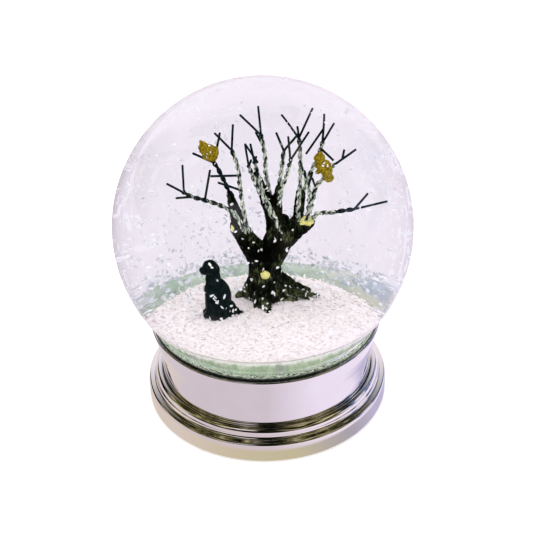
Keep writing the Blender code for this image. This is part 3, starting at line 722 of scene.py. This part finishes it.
def build_floating(finishes):
    """Flakes adrift: a few everywhere, many low down at the left, a cloud against the back of the glass."""
    dice = random.Random(29)
    body = bmesh.new()

    def everywhere(spot):
        return 1.0 if spot.y > 0.0 else 0.3

    def low_down(spot):
        side = 1.0 if spot.x < 0.0 else 0.30
        front = 0.10 if spot.y < 6.0 else 1.0
        return exp(-max(spot.z - 50.0, 0.0) / 12.0) * side * front

    def at_the_back(spot):
        return 1.0 if spot.z < 49.0 and spot.xy.length > 36.0 and spot.y > -10.0 else 0.0

    drift(body, 300, everywhere, (0.38, 0.72), (0, 1, 1), dice)
    drift(body, 860, low_down, (0.38, 0.80), (0, 0, 1, 1, 2), dice)
    drift(body, 900, at_the_back, (0.34, 0.72), (0, 2, 2, 2, 2), dice)
    piece("floating_flakes", body, finishes, crease=20.0)


def settle(body, mesh, count, size, dice, faces_up, below):
    """Lay flakes flat on random spots of a mesh below a height, more of them where it faces up."""
    faces = [face for face in mesh.polygons if face.center.z < below * MM]
    weights = [face.area * max(0.05, 0.4 + faces_up * face.normal.z) for face in faces]
    for face in dice.choices(faces, weights, k=count):
        lean = face.normal + any_direction(dice) * 0.35
        flake(body, face.center / MM + face.normal * 0.12, lean, dice.uniform(*size), dice)


# ---------------- tree

TRUNK_LIMBS = (
    # stem and the three limbs
    [(0.3, 11.0, 52.0, 5.4), (0.2, 11.0, 56.0, 4.8), (0.3, 11.0, 60.0, 4.5), (0.5, 11.0, 63.0, 4.6)],
    [(-0.8, 11.0, 62.5, 3.8), (-4.2, 10.5, 68.0, 2.9), (-7.0, 10.2, 73.6, 2.6)],
    [(1.8, 11.0, 63.0, 3.8), (3.6, 11.0, 70.0, 2.8), (3.6, 11.0, 75.0, 2.5), (1.8, 10.8, 81.0, 2.1),
     (-0.4, 10.5, 87.0, 1.5), (-1.8, 10.4, 91.4, 1.0)],
    [(1.6, 10.6, 62.0, 3.6), (6.0, 9.8, 68.8, 2.6), (10.8, 8.8, 73.4, 2.2), (13.0, 8.2, 75.8, 2.1)],
    # the limb behind the right one, the stubs and the knots
    [(1.6, 12.0, 62.0, 3.5), (6.2, 12.6, 68.6, 2.2), (10.2, 12.4, 74.6, 1.6), (11.2, 12.4, 83.0, 1.4)],
    [(-7.0, 10.6, 74.6, 2.2), (-8.0, 11.0, 79.0, 1.6), (-9.6, 11.4, 84.4, 0.9)],
    [(3.8, 11.0, 78.5, 2.0), (4.4, 10.8, 82.0, 1.5), (5.1, 10.6, 86.4, 1.0)],
    [(5.2, 9.8, 75.4, 2.0), (6.0, 9.2, 75.9, 1.9)],
    [(0.2, 8.2, 59.9, 1.6), (0.2, 6.3, 59.8, 1.4)],
    # roots
    [(-2.0, 10.0, 55.6, 2.8), (-4.8, 11.6, 52.0, 1.5), (-7.4, 12.4, 50.0, 0.8)],
    [(0.0, 8.6, 55.0, 3.4), (-0.2, 5.6, 52.0, 2.4), (0.2, 3.2, 50.8, 1.5), (0.9, 1.0, 49.9, 0.8)],
    [(-1.4, 7.6, 53.0, 1.6), (-2.4, 5.6, 51.2, 1.1), (-2.6, 4.2, 50.2, 0.7)],
    [(2.6, 10.5, 55.0, 2.4), (6.2, 11.2, 52.2, 1.1), (10.2, 12.0, 50.6, 0.75), (14.4, 12.6, 49.8, 0.5)],
    [(2.4, 9.6, 54.0, 2.0), (4.8, 8.6, 51.4, 1.0), (8.6, 8.8, 50.2, 0.6)],
    [(6.2, 11.2, 52.2, 0.9), (9.4, 10.2, 50.8, 0.6), (12.0, 9.8, 50.0, 0.45)],
    [(3.0, 12.0, 55.0, 2.8), (8.2, 14.6, 51.4, 1.3), (11.6, 16.2, 49.4, 0.8)],
    [(-1.0, 13.0, 55.0, 3.0), (-3.6, 17.0, 50.6, 1.6), (-4.6, 20.4, 48.6, 0.9)],
)
# Sawn ends and knots left pale: (middle, reach)
SAWN_ENDS = (
    ((13.6, 6.6, 77.8), 2.1), ((11.5, 6.7, 77.5), 1.8), ((-9.4, 8.6, 73.8), 1.1), ((0.2, 5.0, 59.8), 1.6),
)


def bark_relief(spot):
    """Grooves along the limbs, with coarser lumps under them."""
    grooves = noise.noise(Vector((spot.x * 1.5, spot.y * 1.5, spot.z * 0.32)))
    fine = noise.noise(Vector((spot.x * 3.4, spot.y * 3.4, spot.z * 0.9 + 9.0)))
    lumps = noise.noise(spot * 0.4)
    return 0.30 * (1.0 - 2.0 * abs(grooves)) - 0.15 + 0.12 * fine + 0.25 * lumps


def build_trunk(finish):
    balls = [ball for limb in TRUNK_LIMBS for ball in chain(limb)]
    mesh = moulded("trunk_bark", balls, 0.33, 5)
    swell(mesh, bark_relief)
    values = []
    for vertex in mesh.vertices:
        spot = vertex.co / MM
        nearest = min((spot - Vector(middle)).length / reach for middle, reach in SAWN_ENDS)
        values.append(max(0.0, 1.0 - 0.5 * nearest))
    mesh.attributes.new("sawn", "FLOAT", "POINT").data.foreach_set("value", values)
    return piece("trunk_bark", mesh, finish, ["tree_trunk"])


# Each branch: its stem's points from the limb outwards, the ends of the twigs that leave the stem's
# last point, where the two strands part, and further twigs with a start of their own.
BRANCHES = {
    "branch_left_low": (
        [(-5.0, 9.4, 71.0), (-5.8, 7.7, 74.6), (-8.0, 7.6, 79.2), (-11.5, 7.2, 82.4), (-17.0, 6.0, 85.6),
         (-21.0, 5.0, 87.6), (-23.4, 4.6, 89.4)],
        [(-29.0, 3.0, 94.0), (-24.0, 6.0, 98.6)],
        [((-21.0, 5.0, 87.6), (-26.0, 2.4, 89.0)), ((-17.0, 6.0, 85.6), (-15.4, 7.4, 95.4))]),
    "branch_left_squirrel": (
        [(-6.8, 11.8, 74.4), (-8.6, 13.8, 80.0), (-10.2, 14.0, 85.0), (-12.4, 14.0, 90.6),
         (-13.8, 14.0, 93.4)],
        [(-20.2, 13.0, 97.8), (-12.0, 16.0, 102.8)], []),
    "branch_left_high": (
        [(-4.0, 9.8, 70.6), (-4.7, 8.5, 74.8), (-5.9, 9.2, 82.6), (-6.6, 8.4, 90.0), (-7.0, 8.0, 95.6),
         (-8.8, 8.0, 102.0)],
        [(-14.2, 7.0, 109.8), (-8.4, 9.0, 111.4)],
        [((-6.9, 8.2, 92.6), (-15.0, 10.6, 91.0)), ((-6.0, 8.6, 87.0), (-13.0, 5.6, 92.0))]),
    "branch_centre_front": (
        [(4.6, 7.6, 74.6), (3.0, 7.2, 79.6), (0.9, 6.8, 85.0), (-1.6, 6.0, 90.4), (-3.8, 5.0, 98.0)],
        [(-4.8, 4.0, 107.2), (-3.0, 4.6, 100.6)], [((-4.8, 4.0, 107.2), (-1.0, 3.4, 100.4))]),
    "branch_centre_short": (
        [(2.6, 8.0, 78.4), (0.8, 8.3, 83.4), (-0.3, 8.2, 88.4), (-1.2, 8.0, 93.2), (-2.0, 8.0, 97.4)],
        [(-3.1, 7.4, 104.6), (-1.4, 7.4, 99.8)], []),
    "branch_centre_tall": (
        [(2.6, 12.2, 80.4), (1.9, 11.8, 86.0), (1.2, 11.0, 92.0), (1.2, 10.4, 98.0), (0.2, 10.0, 106.0)],
        [(-6.2, 8.8, 115.6), (-0.4, 11.0, 117.4)], [((1.0, 10.3, 101.0), (-1.4, 13.6, 104.6))]),
    "branch_centre_back": (
        [(4.4, 11.8, 81.6), (5.4, 12.6, 88.0), (6.2, 13.4, 93.0), (6.8, 14.0, 97.0)],
        [(4.8, 14.4, 103.4), (11.4, 16.2, 101.6)], []),
    "branch_centre_right": (
        [(4.8, 9.9, 80.6), (5.9, 8.0, 88.0), (7.4, 5.6, 93.4), (9.0, 3.2, 101.0)],
        [(8.8, 2.2, 111.0), (15.6, 0.8, 114.0)], []),
    "branch_right_tall": (
        [(10.2, 9.2, 73.8), (10.6, 8.2, 82.0), (11.4, 8.0, 90.0), (11.8, 8.0, 98.0), (11.8, 8.0, 106.0)],
        [(11.6, 8.4, 110.4), (7.0, 6.4, 117.2), (17.2, 9.2, 118.2)], []),
    "branch_right_inner": (
        [(12.4, 8.0, 74.4), (13.4, 5.6, 81.0), (14.2, 4.2, 88.4), (12.8, 3.0, 97.0)],
        [(12.0, 2.0, 101.6)], [((13.9, 3.9, 90.4), (15.6, 1.6, 97.4))]),
    "branch_right_back": (
        [(11.1, 12.4, 81.2), (14.0, 13.6, 88.4), (16.8, 14.0, 94.6), (18.4, 14.0, 99.6)],
        [(20.0, 14.2, 111.0), (22.4, 16.0, 105.6)],
        [((19.2, 14.1, 105.0), (13.4, 13.0, 96.4)), ((17.7, 14.0, 97.6), (21.4, 12.6, 94.0))]),
    "branch_right_squirrel": (
        [(12.6, 10.0, 74.6), (14.4, 10.2, 80.6), (15.8, 10.2, 86.2), (18.2, 10.2, 89.4),
         (21.6, 10.2, 94.0)],
        [(29.2, 8.6, 101.0)],
        [((24.4, 9.6, 96.6), (25.2, 10.6, 99.4)), ((15.8, 10.2, 86.2), (14.8, 6.4, 93.6)),
         ((17.0, 10.2, 87.8), (13.2, 8.8, 82.6))]),
    "branch_right_low": (
        [(14.4, 8.4, 75.4), (15.8, 6.2, 79.6), (20.0, 4.8, 80.8), (24.0, 3.8, 82.0), (27.4, 2.8, 83.0)],
        [(32.2, 2.0, 89.0), (38.6, 0.6, 87.0)], []),
}

# Stems with less frost than usual: the share that is thickly frosted, and the loss beyond it
LEAST_FROSTED = {"branch_left_low": (0.30, 0.50), "branch_left_squirrel": (0.20, 0.50),
                 "branch_right_low": (0.45, 0.45)}


def strand(body, layer, stem, frosting, start_turn, end):
    """One strand of a twisted pair: coiled along the stem, then straight to its end, if it has one.

    Frosting is the share of the stem that is thickly frosted, and how much frost is lost beyond it.
    """
    share, loss = frosting
    points, radii, marks, hidden = [], [], [], []
    travelled = 0.0
    total = sum((b - a).length for a, b in zip(stem, stem[1:]))
    before = stem[0]
    coat = 1.0 - 0.06 * start_turn
    for point, side, across in frames(stem):
        travelled += (point - before).length
        before = point
        part = travelled / total
        frost = coat * (1.0 - loss * min(1.0, max(0.0, (part - share) / 0.35)))
        turn = start_turn + 2.0 * pi * travelled / TWIST_PITCH
        outward = side * cos(turn) + across * sin(turn)
        points.append(point + outward * TWIST_RADIUS)
        radii.append(STRAND_RADIUS + FROST_THICKNESS * frost * (1.0 + noise.noise(point * 1.4)))
        marks.append(frost)
        hidden.append(-outward)
    if end is not None:
        end = Vector(end)
        run = end - stem[-1]
        count = max(4, round(run.length / 0.9))
        for step in range(1, count + 1):
            part = step / count
            wobble = Vector((noise.noise(end + run * part * 0.2), 0.0, 0.0)) * 0.25 * part * (1.0 - part)
            points.append(stem[-1] + run * part + wobble)
            radii.append(STRAND_RADIUS)
            marks.append(0.45 * (1.0 - part))
            # painted shade on the underside of the twig's straight run
            hidden.append(Vector((0.0, 0.0, -0.5)))
    tube(body, points, radii, marks, layer, hidden)


def build_branches(finish):
    for name, (stem_points, ends, side_twigs) in BRANCHES.items():
        first, second = Vector(stem_points[0]), Vector(stem_points[1])
        root = first - (second - first).normalized() * ROOT_DEPTH
        stem = curve_through([root] + stem_points, WIRE_STEP)
        body = bmesh.new()
        layer = body.verts.layers.float.new("frost")
        frosting = LEAST_FROSTED.get(name, (0.72, 0.35))
        for index, end in enumerate((ends + [None])[:2]):
            strand(body, layer, stem, frosting, pi * index, end)
        for start, end in [(stem_points[-1], end) for end in ends[2:]] + side_twigs:
            points = [Vector(start).lerp(Vector(end), step / 6.0) for step in range(7)]
            tube(body, points, [STRAND_RADIUS] * 7, [0.0] * 7, layer)
        piece(name + "_wire", body, finish, [name])


# ---------------- figures

# Ellipsoids: centre, radii and tilt. A fourth number stands for a pair, that far to either side in Y.
DOG = (
    ((-13.2, 2.0, 52.2), (3.5, 3.3, 4.3), 0.0),  # haunches
    ((-11.4, 2.0, 51.4), (3.3, 3.5, 3.3), 0.0),
    ((-12.8, 2.0, 56.6), (3.1, 2.8, 5.0), -16.0),  # back and chest
    ((-15.0, 2.0, 57.6), (2.3, 2.4, 4.2), -3.0),
    ((-14.8, 2.0, 61.4), (2.25, 2.0, 2.9), 0.0),  # neck
    ((-15.7, 2.0, 65.1), (2.2, 2.1, 2.3), 0.0),  # head
    ((-17.3, 2.0, 64.0), (1.5, 1.35, 1.25), 14.0),  # muzzle
    ((-18.3, 2.0, 64.1), (0.6, 0.6, 0.5), 0.0),  # nose
    ((-16.6, 2.0, 66.2), (0.8, 0.6, 0.55), 30.0, 0.9),  # brows
    ((-13.9, 2.0, 63.6), (1.1, 0.7, 2.1), -16.0, 1.8),  # ears
    ((-15.9, 2.0, 54.2), (1.05, 1.0, 4.8), 0.0, 1.1),  # front legs
    ((-16.2, 2.0, 50.5), (1.3, 1.1, 0.9), 0.0, 1.2),  # paws
    ((-12.4, 2.0, 52.6), (2.4, 1.3, 2.6), -20.0, 2.7),  # thighs
    ((-13.2, 2.0, 50.5), (2.5, 1.1, 1.0), 0.0, 3.2),  # hind feet
    ((-8.9, 1.4, 51.4), (1.6, 1.1, 1.1), 0.0),  # tail
    ((-7.5, 1.4, 50.5), (2.4, 0.9, 0.9), 26.0),
)
SQUIRREL_LEFT = (
    ((-17.1, 13.5, 100.2), (1.3, 1.2, 1.2), 0.0),  # head, snout and ears
    ((-18.0, 13.5, 99.6), (0.7, 0.65, 0.6), 0.0),
    ((-17.9, 13.5, 101.3), (0.5, 0.4, 0.5), 0.0, 0.6),
    ((-16.5, 13.5, 98.4), (1.5, 1.4, 2.1), -15.0),  # chest, body and haunches
    ((-15.4, 13.5, 98.2), (2.1, 1.7, 2.6), -40.0),
    ((-14.5, 13.5, 96.9), (1.7, 1.1, 1.8), 0.0, 1.1),
    ((-17.6, 13.5, 98.4), (0.9, 0.45, 0.45), 10.0, 0.8),  # paws and feet
    ((-16.4, 13.5, 95.9), (1.1, 0.55, 0.55), 30.0, 0.7),
    ((-13.4, 13.5, 97.6), (1.0, 1.2, 1.9), 4.0),  # tail curled against the back
    ((-14.0, 13.5, 99.0), (0.8, 1.0, 0.9), 0.0),
)
SQUIRREL_RIGHT = (
    ((17.8, 7.4, 98.9), (1.65, 1.45, 1.6), 0.0),  # head, snout and ears
    ((16.6, 7.4, 98.5), (0.75, 0.7, 0.65), 0.0),
    ((18.2, 6.7, 100.3), (0.55, 0.4, 0.5), 0.0),
    ((18.2, 8.1, 100.3), (0.55, 0.4, 0.5), 0.0),
    ((17.9, 7.4, 96.5), (1.8, 1.5, 2.2), -10.0),  # chest, body and haunches
    ((19.0, 7.4, 95.4), (2.4, 1.9, 2.4), -20.0),
    ((19.7, 6.5, 94.6), (1.8, 1.2, 1.9), 0.0),
    ((17.3, 6.3, 94.6), (1.4, 0.6, 0.8), -30.0),  # paw and hips
    ((19.5, 7.8, 92.8), (1.6, 1.4, 1.6), 0.0),
    ((20.0, 8.0, 91.0), (1.6, 1.4, 1.35), 0.0),  # tail's end
)


def in_pairs(balls):
    """The ellipsoids of a figure, with both of each pair."""
    for (x, y, z), radii, tilt, *apart in balls:
        for side in (-apart[0], apart[0]) if apart else (0.0,):
            yield (x, y + side, z), radii, tilt


def coat_relief(spot):
    locks = noise.noise(Vector((spot.x * 0.9, spot.y * 0.9, spot.z * 0.5)))
    return 0.10 * locks + 0.04 * noise.noise(spot * 2.2)


def fur_relief(spot):
    return 0.16 * noise.noise(spot * 1.3) + 0.08 * noise.noise(spot * 2.9)


def build_figures():
    fur = squirrel_material()
    figures = []
    for name, balls, voxel, passes, relief, finish, slot in (
            ("dog", DOG, 0.25, 4, coat_relief, dog_material(), "black_resin"),
            ("squirrel_left", SQUIRREL_LEFT, 0.16, 3, fur_relief, fur, "golden_resin"),
            ("squirrel_right", SQUIRREL_RIGHT, 0.16, 3, fur_relief, fur, "golden_resin")):
        mesh = moulded(name + "_figure", in_pairs(balls), voxel, passes)
        swell(mesh, relief)
        figures.append(piece(name + "_figure", mesh, finish, [name]))
    return figures


# ---------------- pieces kept from the design

def finish_design_nodes():
    plastic = plain_finish("moulded_plastic", (0.74, 0.73, 0.70), (0.84, 0.83, 0.80), 0.8, 0.5, 0.08)
    rubber = plain_finish("stopper_rubber", (0.03, 0.03, 0.03), (0.07, 0.07, 0.07), 1.2, 0.7, 0.1)
    steel = plain_finish("screw_steel", (0.45, 0.45, 0.46), (0.62, 0.62, 0.63), 2.0, 0.32, 0.03, 1.0)
    felt = plain_finish("felt", (0.010, 0.018, 0.013), (0.045, 0.065, 0.050), 3.0, 0.95, 0.4)
    finishes = {"base_plate": plastic, "globe_cradle": plastic, "rubber_stopper": rubber,
                "filler_plug": rubber, "felt_pad": felt, "base_screw_1": steel, "base_screw_2": steel,
                "base_screw_3": steel}
    for name, finish in finishes.items():
        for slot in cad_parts[name].material_slots:
            slot.material = finish


# ---------------- studio

def build_camera():
    """Three-quarter view from above, with the small tilt and turn of a hand-held shot."""
    elevation, distance = radians(31.2), 480.0
    yaw, pitch, roll = -0.002, -0.033, -0.029
    back = Vector((0.0, -cos(elevation), sin(elevation)))
    data = bpy.data.cameras.new("camera")
    data.sensor_width = 36.0
    data.lens = 81.0
    data.clip_start = 0.01
    camera = bpy.data.objects.new("camera", data)
    bpy.context.collection.objects.link(camera)
    camera.matrix_world = (Matrix.Translation((BALL_CENTRE + back * distance) * MM)
                           @ Matrix.Rotation(pi / 2.0 - elevation, 4, "X")
                           @ Matrix.Rotation(yaw, 4, "Y") @ Matrix.Rotation(pitch, 4, "X")
                           @ Matrix.Rotation(roll, 4, "Z"))
    bpy.context.scene.camera = camera


def behind_ball(tree, path):
    """What is seen through the ball: the backdrop, or the dim room where the metal mirrors the ball."""
    return blend_colour(tree, spread(tree, path.outputs["Glossy Depth"], 0.0, 1.0), PAPER, ROOM)


def build_world():
    """A white room to the eye. The metal and the glass see its dark front, with coloured things about."""
    world = bpy.data.worlds.new("studio")
    world.use_nodes = True
    bpy.context.scene.world = world
    tree = world.node_tree
    path = node(tree, "LightPath")
    direction = node(tree, "TexCoord").outputs["Generated"]

    def around(towards, start, end):
        """1 within a cone about a direction, 0 outside it, soft in between."""
        cosine = node(tree, "VectorMath", {0: direction, 1: Vector(towards).normalized()},
                      operation="DOT_PRODUCT").outputs["Value"]
        return node(tree, "MapRange", {"Value": cosine, "From Min": start, "From Max": end},
                    interpolation_type="SMOOTHSTEP").outputs["Result"]

    things = grain(tree, direction, 2.6, 3.0, 0.6)
    olive = ramp(tree, things, [(0.42, (0.003, 0.003, 0.001)), (0.48, (0.05, 0.046, 0.012)),
                                (0.54, (0.19, 0.17, 0.07)), (0.61, (0.62, 0.54, 0.36))])
    blue = ramp(tree, things, [(0.37, (0.003, 0.004, 0.005)), (0.43, (0.05, 0.08, 0.18)),
                               (0.50, (0.26, 0.34, 0.66)), (0.57, (0.86, 0.84, 1.0))])
    dark = ramp(tree, things, [(0.50, (0.0005, 0.0005, 0.0004)), (0.68, (0.025, 0.025, 0.012))])
    room = dark
    for towards, start, end, colour in (((-1.0, -0.2, 0.3), 0.36, 0.68, olive),
                                        ((1.0, -0.2, 0.3), 0.38, 0.66, olive),
                                        ((1.0, 0.2, 0.2), 0.80, 0.95, blue)):
        room = blend_colour(tree, around(towards, start, end), room, colour)
    shade = blend_colour(tree, around((0.0, -0.80, 0.60), -0.42, 0.12), DAYLIGHT, room)
    for towards, start, end, colour in (((-0.86, 0.45, 0.20), 0.86, 0.96, olive),
                                        ((0.86, 0.45, 0.20), 0.86, 0.96, blue),
                                        ((-0.36, -0.77, 0.60), 0.972, 0.992, WINDOW)):
        shade = blend_colour(tree, around(towards, start, end), shade, colour)
    shade = blend_colour(tree, path.outputs["Is Transmission Ray"], shade, behind_ball(tree, path))
    seen = blend_colour(tree, path.outputs["Is Glossy Ray"], AMBIENT, shade)
    seen = blend_colour(tree, path.outputs["Is Camera Ray"], seen, (1.0, 1.0, 1.0))
    tree.links.new(seen, tree.nodes["Background"].inputs["Color"])


def build_floor():
    """A pale floor. What the metal mirrors of it is a painted reflection that glows: beige with painted
    shade close to the base, lavender further out, and dark far out in front.
    """
    made = bpy.data.materials.new("floor")
    made.use_nodes = True
    tree = made.node_tree
    tree.nodes.remove(tree.nodes["Principled BSDF"])
    path = node(tree, "LightPath")
    where = place_of(tree, (1.0, 1.0, 0.0))
    reach = node(tree, "VectorMath", {0: where}, operation="LENGTH").outputs["Value"]
    heading = node(tree, "SeparateXYZ", {0: node(
        tree, "VectorMath", {0: where}, operation="NORMALIZE").outputs[0]})
    turn = spread(tree, heading.outputs[0], -1.0, 1.0)
    # painted reflection tones: beige close to the base is painted shade, as the metal mirrors it
    close = ramp(tree, turn, [(0.15, (0.76, 0.66, 0.60)), (0.35, (0.66, 0.59, 0.44)),
                              (0.62, (0.63, 0.57, 0.40)), (0.85, (0.46, 0.43, 0.52)),
                              (0.95, (0.56, 0.52, 0.74))])
    middle = ramp(tree, turn, [(0.20, (0.70, 0.62, 0.67)), (0.50, (0.71, 0.62, 0.68)),
                               (0.80, (0.96, 0.86, 1.02))])
    far = ramp(tree, turn, [(0.10, (0.84, 0.75, 0.86)), (0.20, (0.70, 0.61, 0.70)),
                            (0.55, (0.86, 0.77, 0.89)), (0.80, (1.0, 0.90, 1.06))])
    tone = blend_colour(tree, spread(tree, reach, 62.0, 84.0), middle, far)
    tone = blend_colour(tree, spread(tree, reach, 56.8, 58.6), close, tone)
    front = spread(tree, heading.outputs[1], -0.1, -0.5)
    # painted dark reflection far out in front
    beyond = maths(tree, "MULTIPLY", spread(tree, reach, 120.0, 160.0), front)
    tone = blend_colour(tree, beyond, tone, (0.02, 0.02, 0.02))
    tone = blend_colour(tree, path.outputs["Is Transmission Ray"], tone, behind_ball(tree, path))
    # the floor glows with the painted reflection tone for glossy rays only
    painted_reflection = node(tree, "Emission", {"Color": tone})
    plain = node(tree, "BsdfDiffuse", {"Color": (0.92, 0.92, 0.92, 1.0)})
    lift = node(tree, "Emission", {"Color": (1.0, 1.0, 1.0, 1.0), "Strength": 0.35})
    pale = node(tree, "AddShader", {0: plain.outputs[0], 1: lift.outputs[0]})
    mix = node(tree, "MixShader", {0: path.outputs["Is Glossy Ray"], 1: pale.outputs[0],
                                             2: painted_reflection.outputs[0]})
    tree.links.new(mix.outputs[0], tree.nodes["Material Output"].inputs["Surface"])
    body = bmesh.new()
    bmesh.ops.create_grid(body, x_segments=8, y_segments=8, size=FLOOR_SIZE)
    floor = bpy.data.objects.new("floor", to_mesh("floor", body))
    floor.data.materials.append(made)
    bpy.context.collection.objects.link(floor)


def lamp(name, place, aim, size, watts, colour=(1.0, 1.0, 1.0)):
    data = bpy.data.lights.new(name, "AREA")
    data.shape = "RECTANGLE"
    data.size, data.size_y = size[0] * MM, size[1] * MM
    data.energy = watts
    data.color = colour
    made = bpy.data.objects.new(name, data)
    bpy.context.collection.objects.link(made)
    made.location = Vector(place) * MM
    made.visible_glossy = False
    made.visible_transmission = False
    made.rotation_euler = (Vector(aim) - Vector(place)).to_track_quat("-Z", "Y").to_euler()


def build_studio():
    bpy.context.scene.view_settings.view_transform = "Standard"
    build_camera()
    build_world()
    build_floor()
    middle = (0.0, 0.0, 60.0)
    lamp("top_light", (-120.0, 60.0, 900.0), middle, (700.0, 700.0), 3.0, (1.0, 0.98, 0.96))
    lamp("side_light", (800.0, -200.0, 500.0), middle, (400.0, 500.0), 1.0, (0.96, 0.95, 1.0))


def main():
    build_studio()
    build_glass()
    build_metal()
    build_seal()
    build_plinth()
    white = flake_material("flakes", (0.84, 0.86, 0.90), (0.98, 0.97, 0.95))
    adrift = [flake_material("flakes_cool", (0.72, 0.76, 0.84), (0.92, 0.93, 0.98)),
              flake_material("flakes_warm", (0.74, 0.74, 0.62), (0.95, 0.93, 0.86)),
              flake_material("flakes_pale", (0.84, 0.86, 0.90), (1.0, 1.0, 1.0))]
    build_snow(snow_material(), snow_material("snow_grains", (0.93, 0.89, 0.90), (1.0, 0.965, 0.955)))
    trunk = build_trunk(bark_material())
    build_branches(wire_material())
    dog, left, right = build_figures()

    dice = random.Random(5)
    body = bmesh.new()
    for mesh, count, size, faces_up, below in (
            (trunk, 80, (0.34, 0.66), 0.3, CROWN_Z), (trunk, 55, (0.34, 0.60), 0.5, 54.5),
            (dog, 34, (0.34, 0.64), 0.3, CROWN_Z), (dog, 12, (0.36, 0.60), 0.3, 52.0),
            (left, 9, (0.30, 0.45), 0.0, CROWN_Z), (right, 9, (0.30, 0.45), 0.0, CROWN_Z)):
        settle(body, mesh, count, size, dice, faces_up, below)
    piece("stuck_flakes", body, white, crease=20.0)
    build_floating(adrift)
    finish_design_nodes()


main()
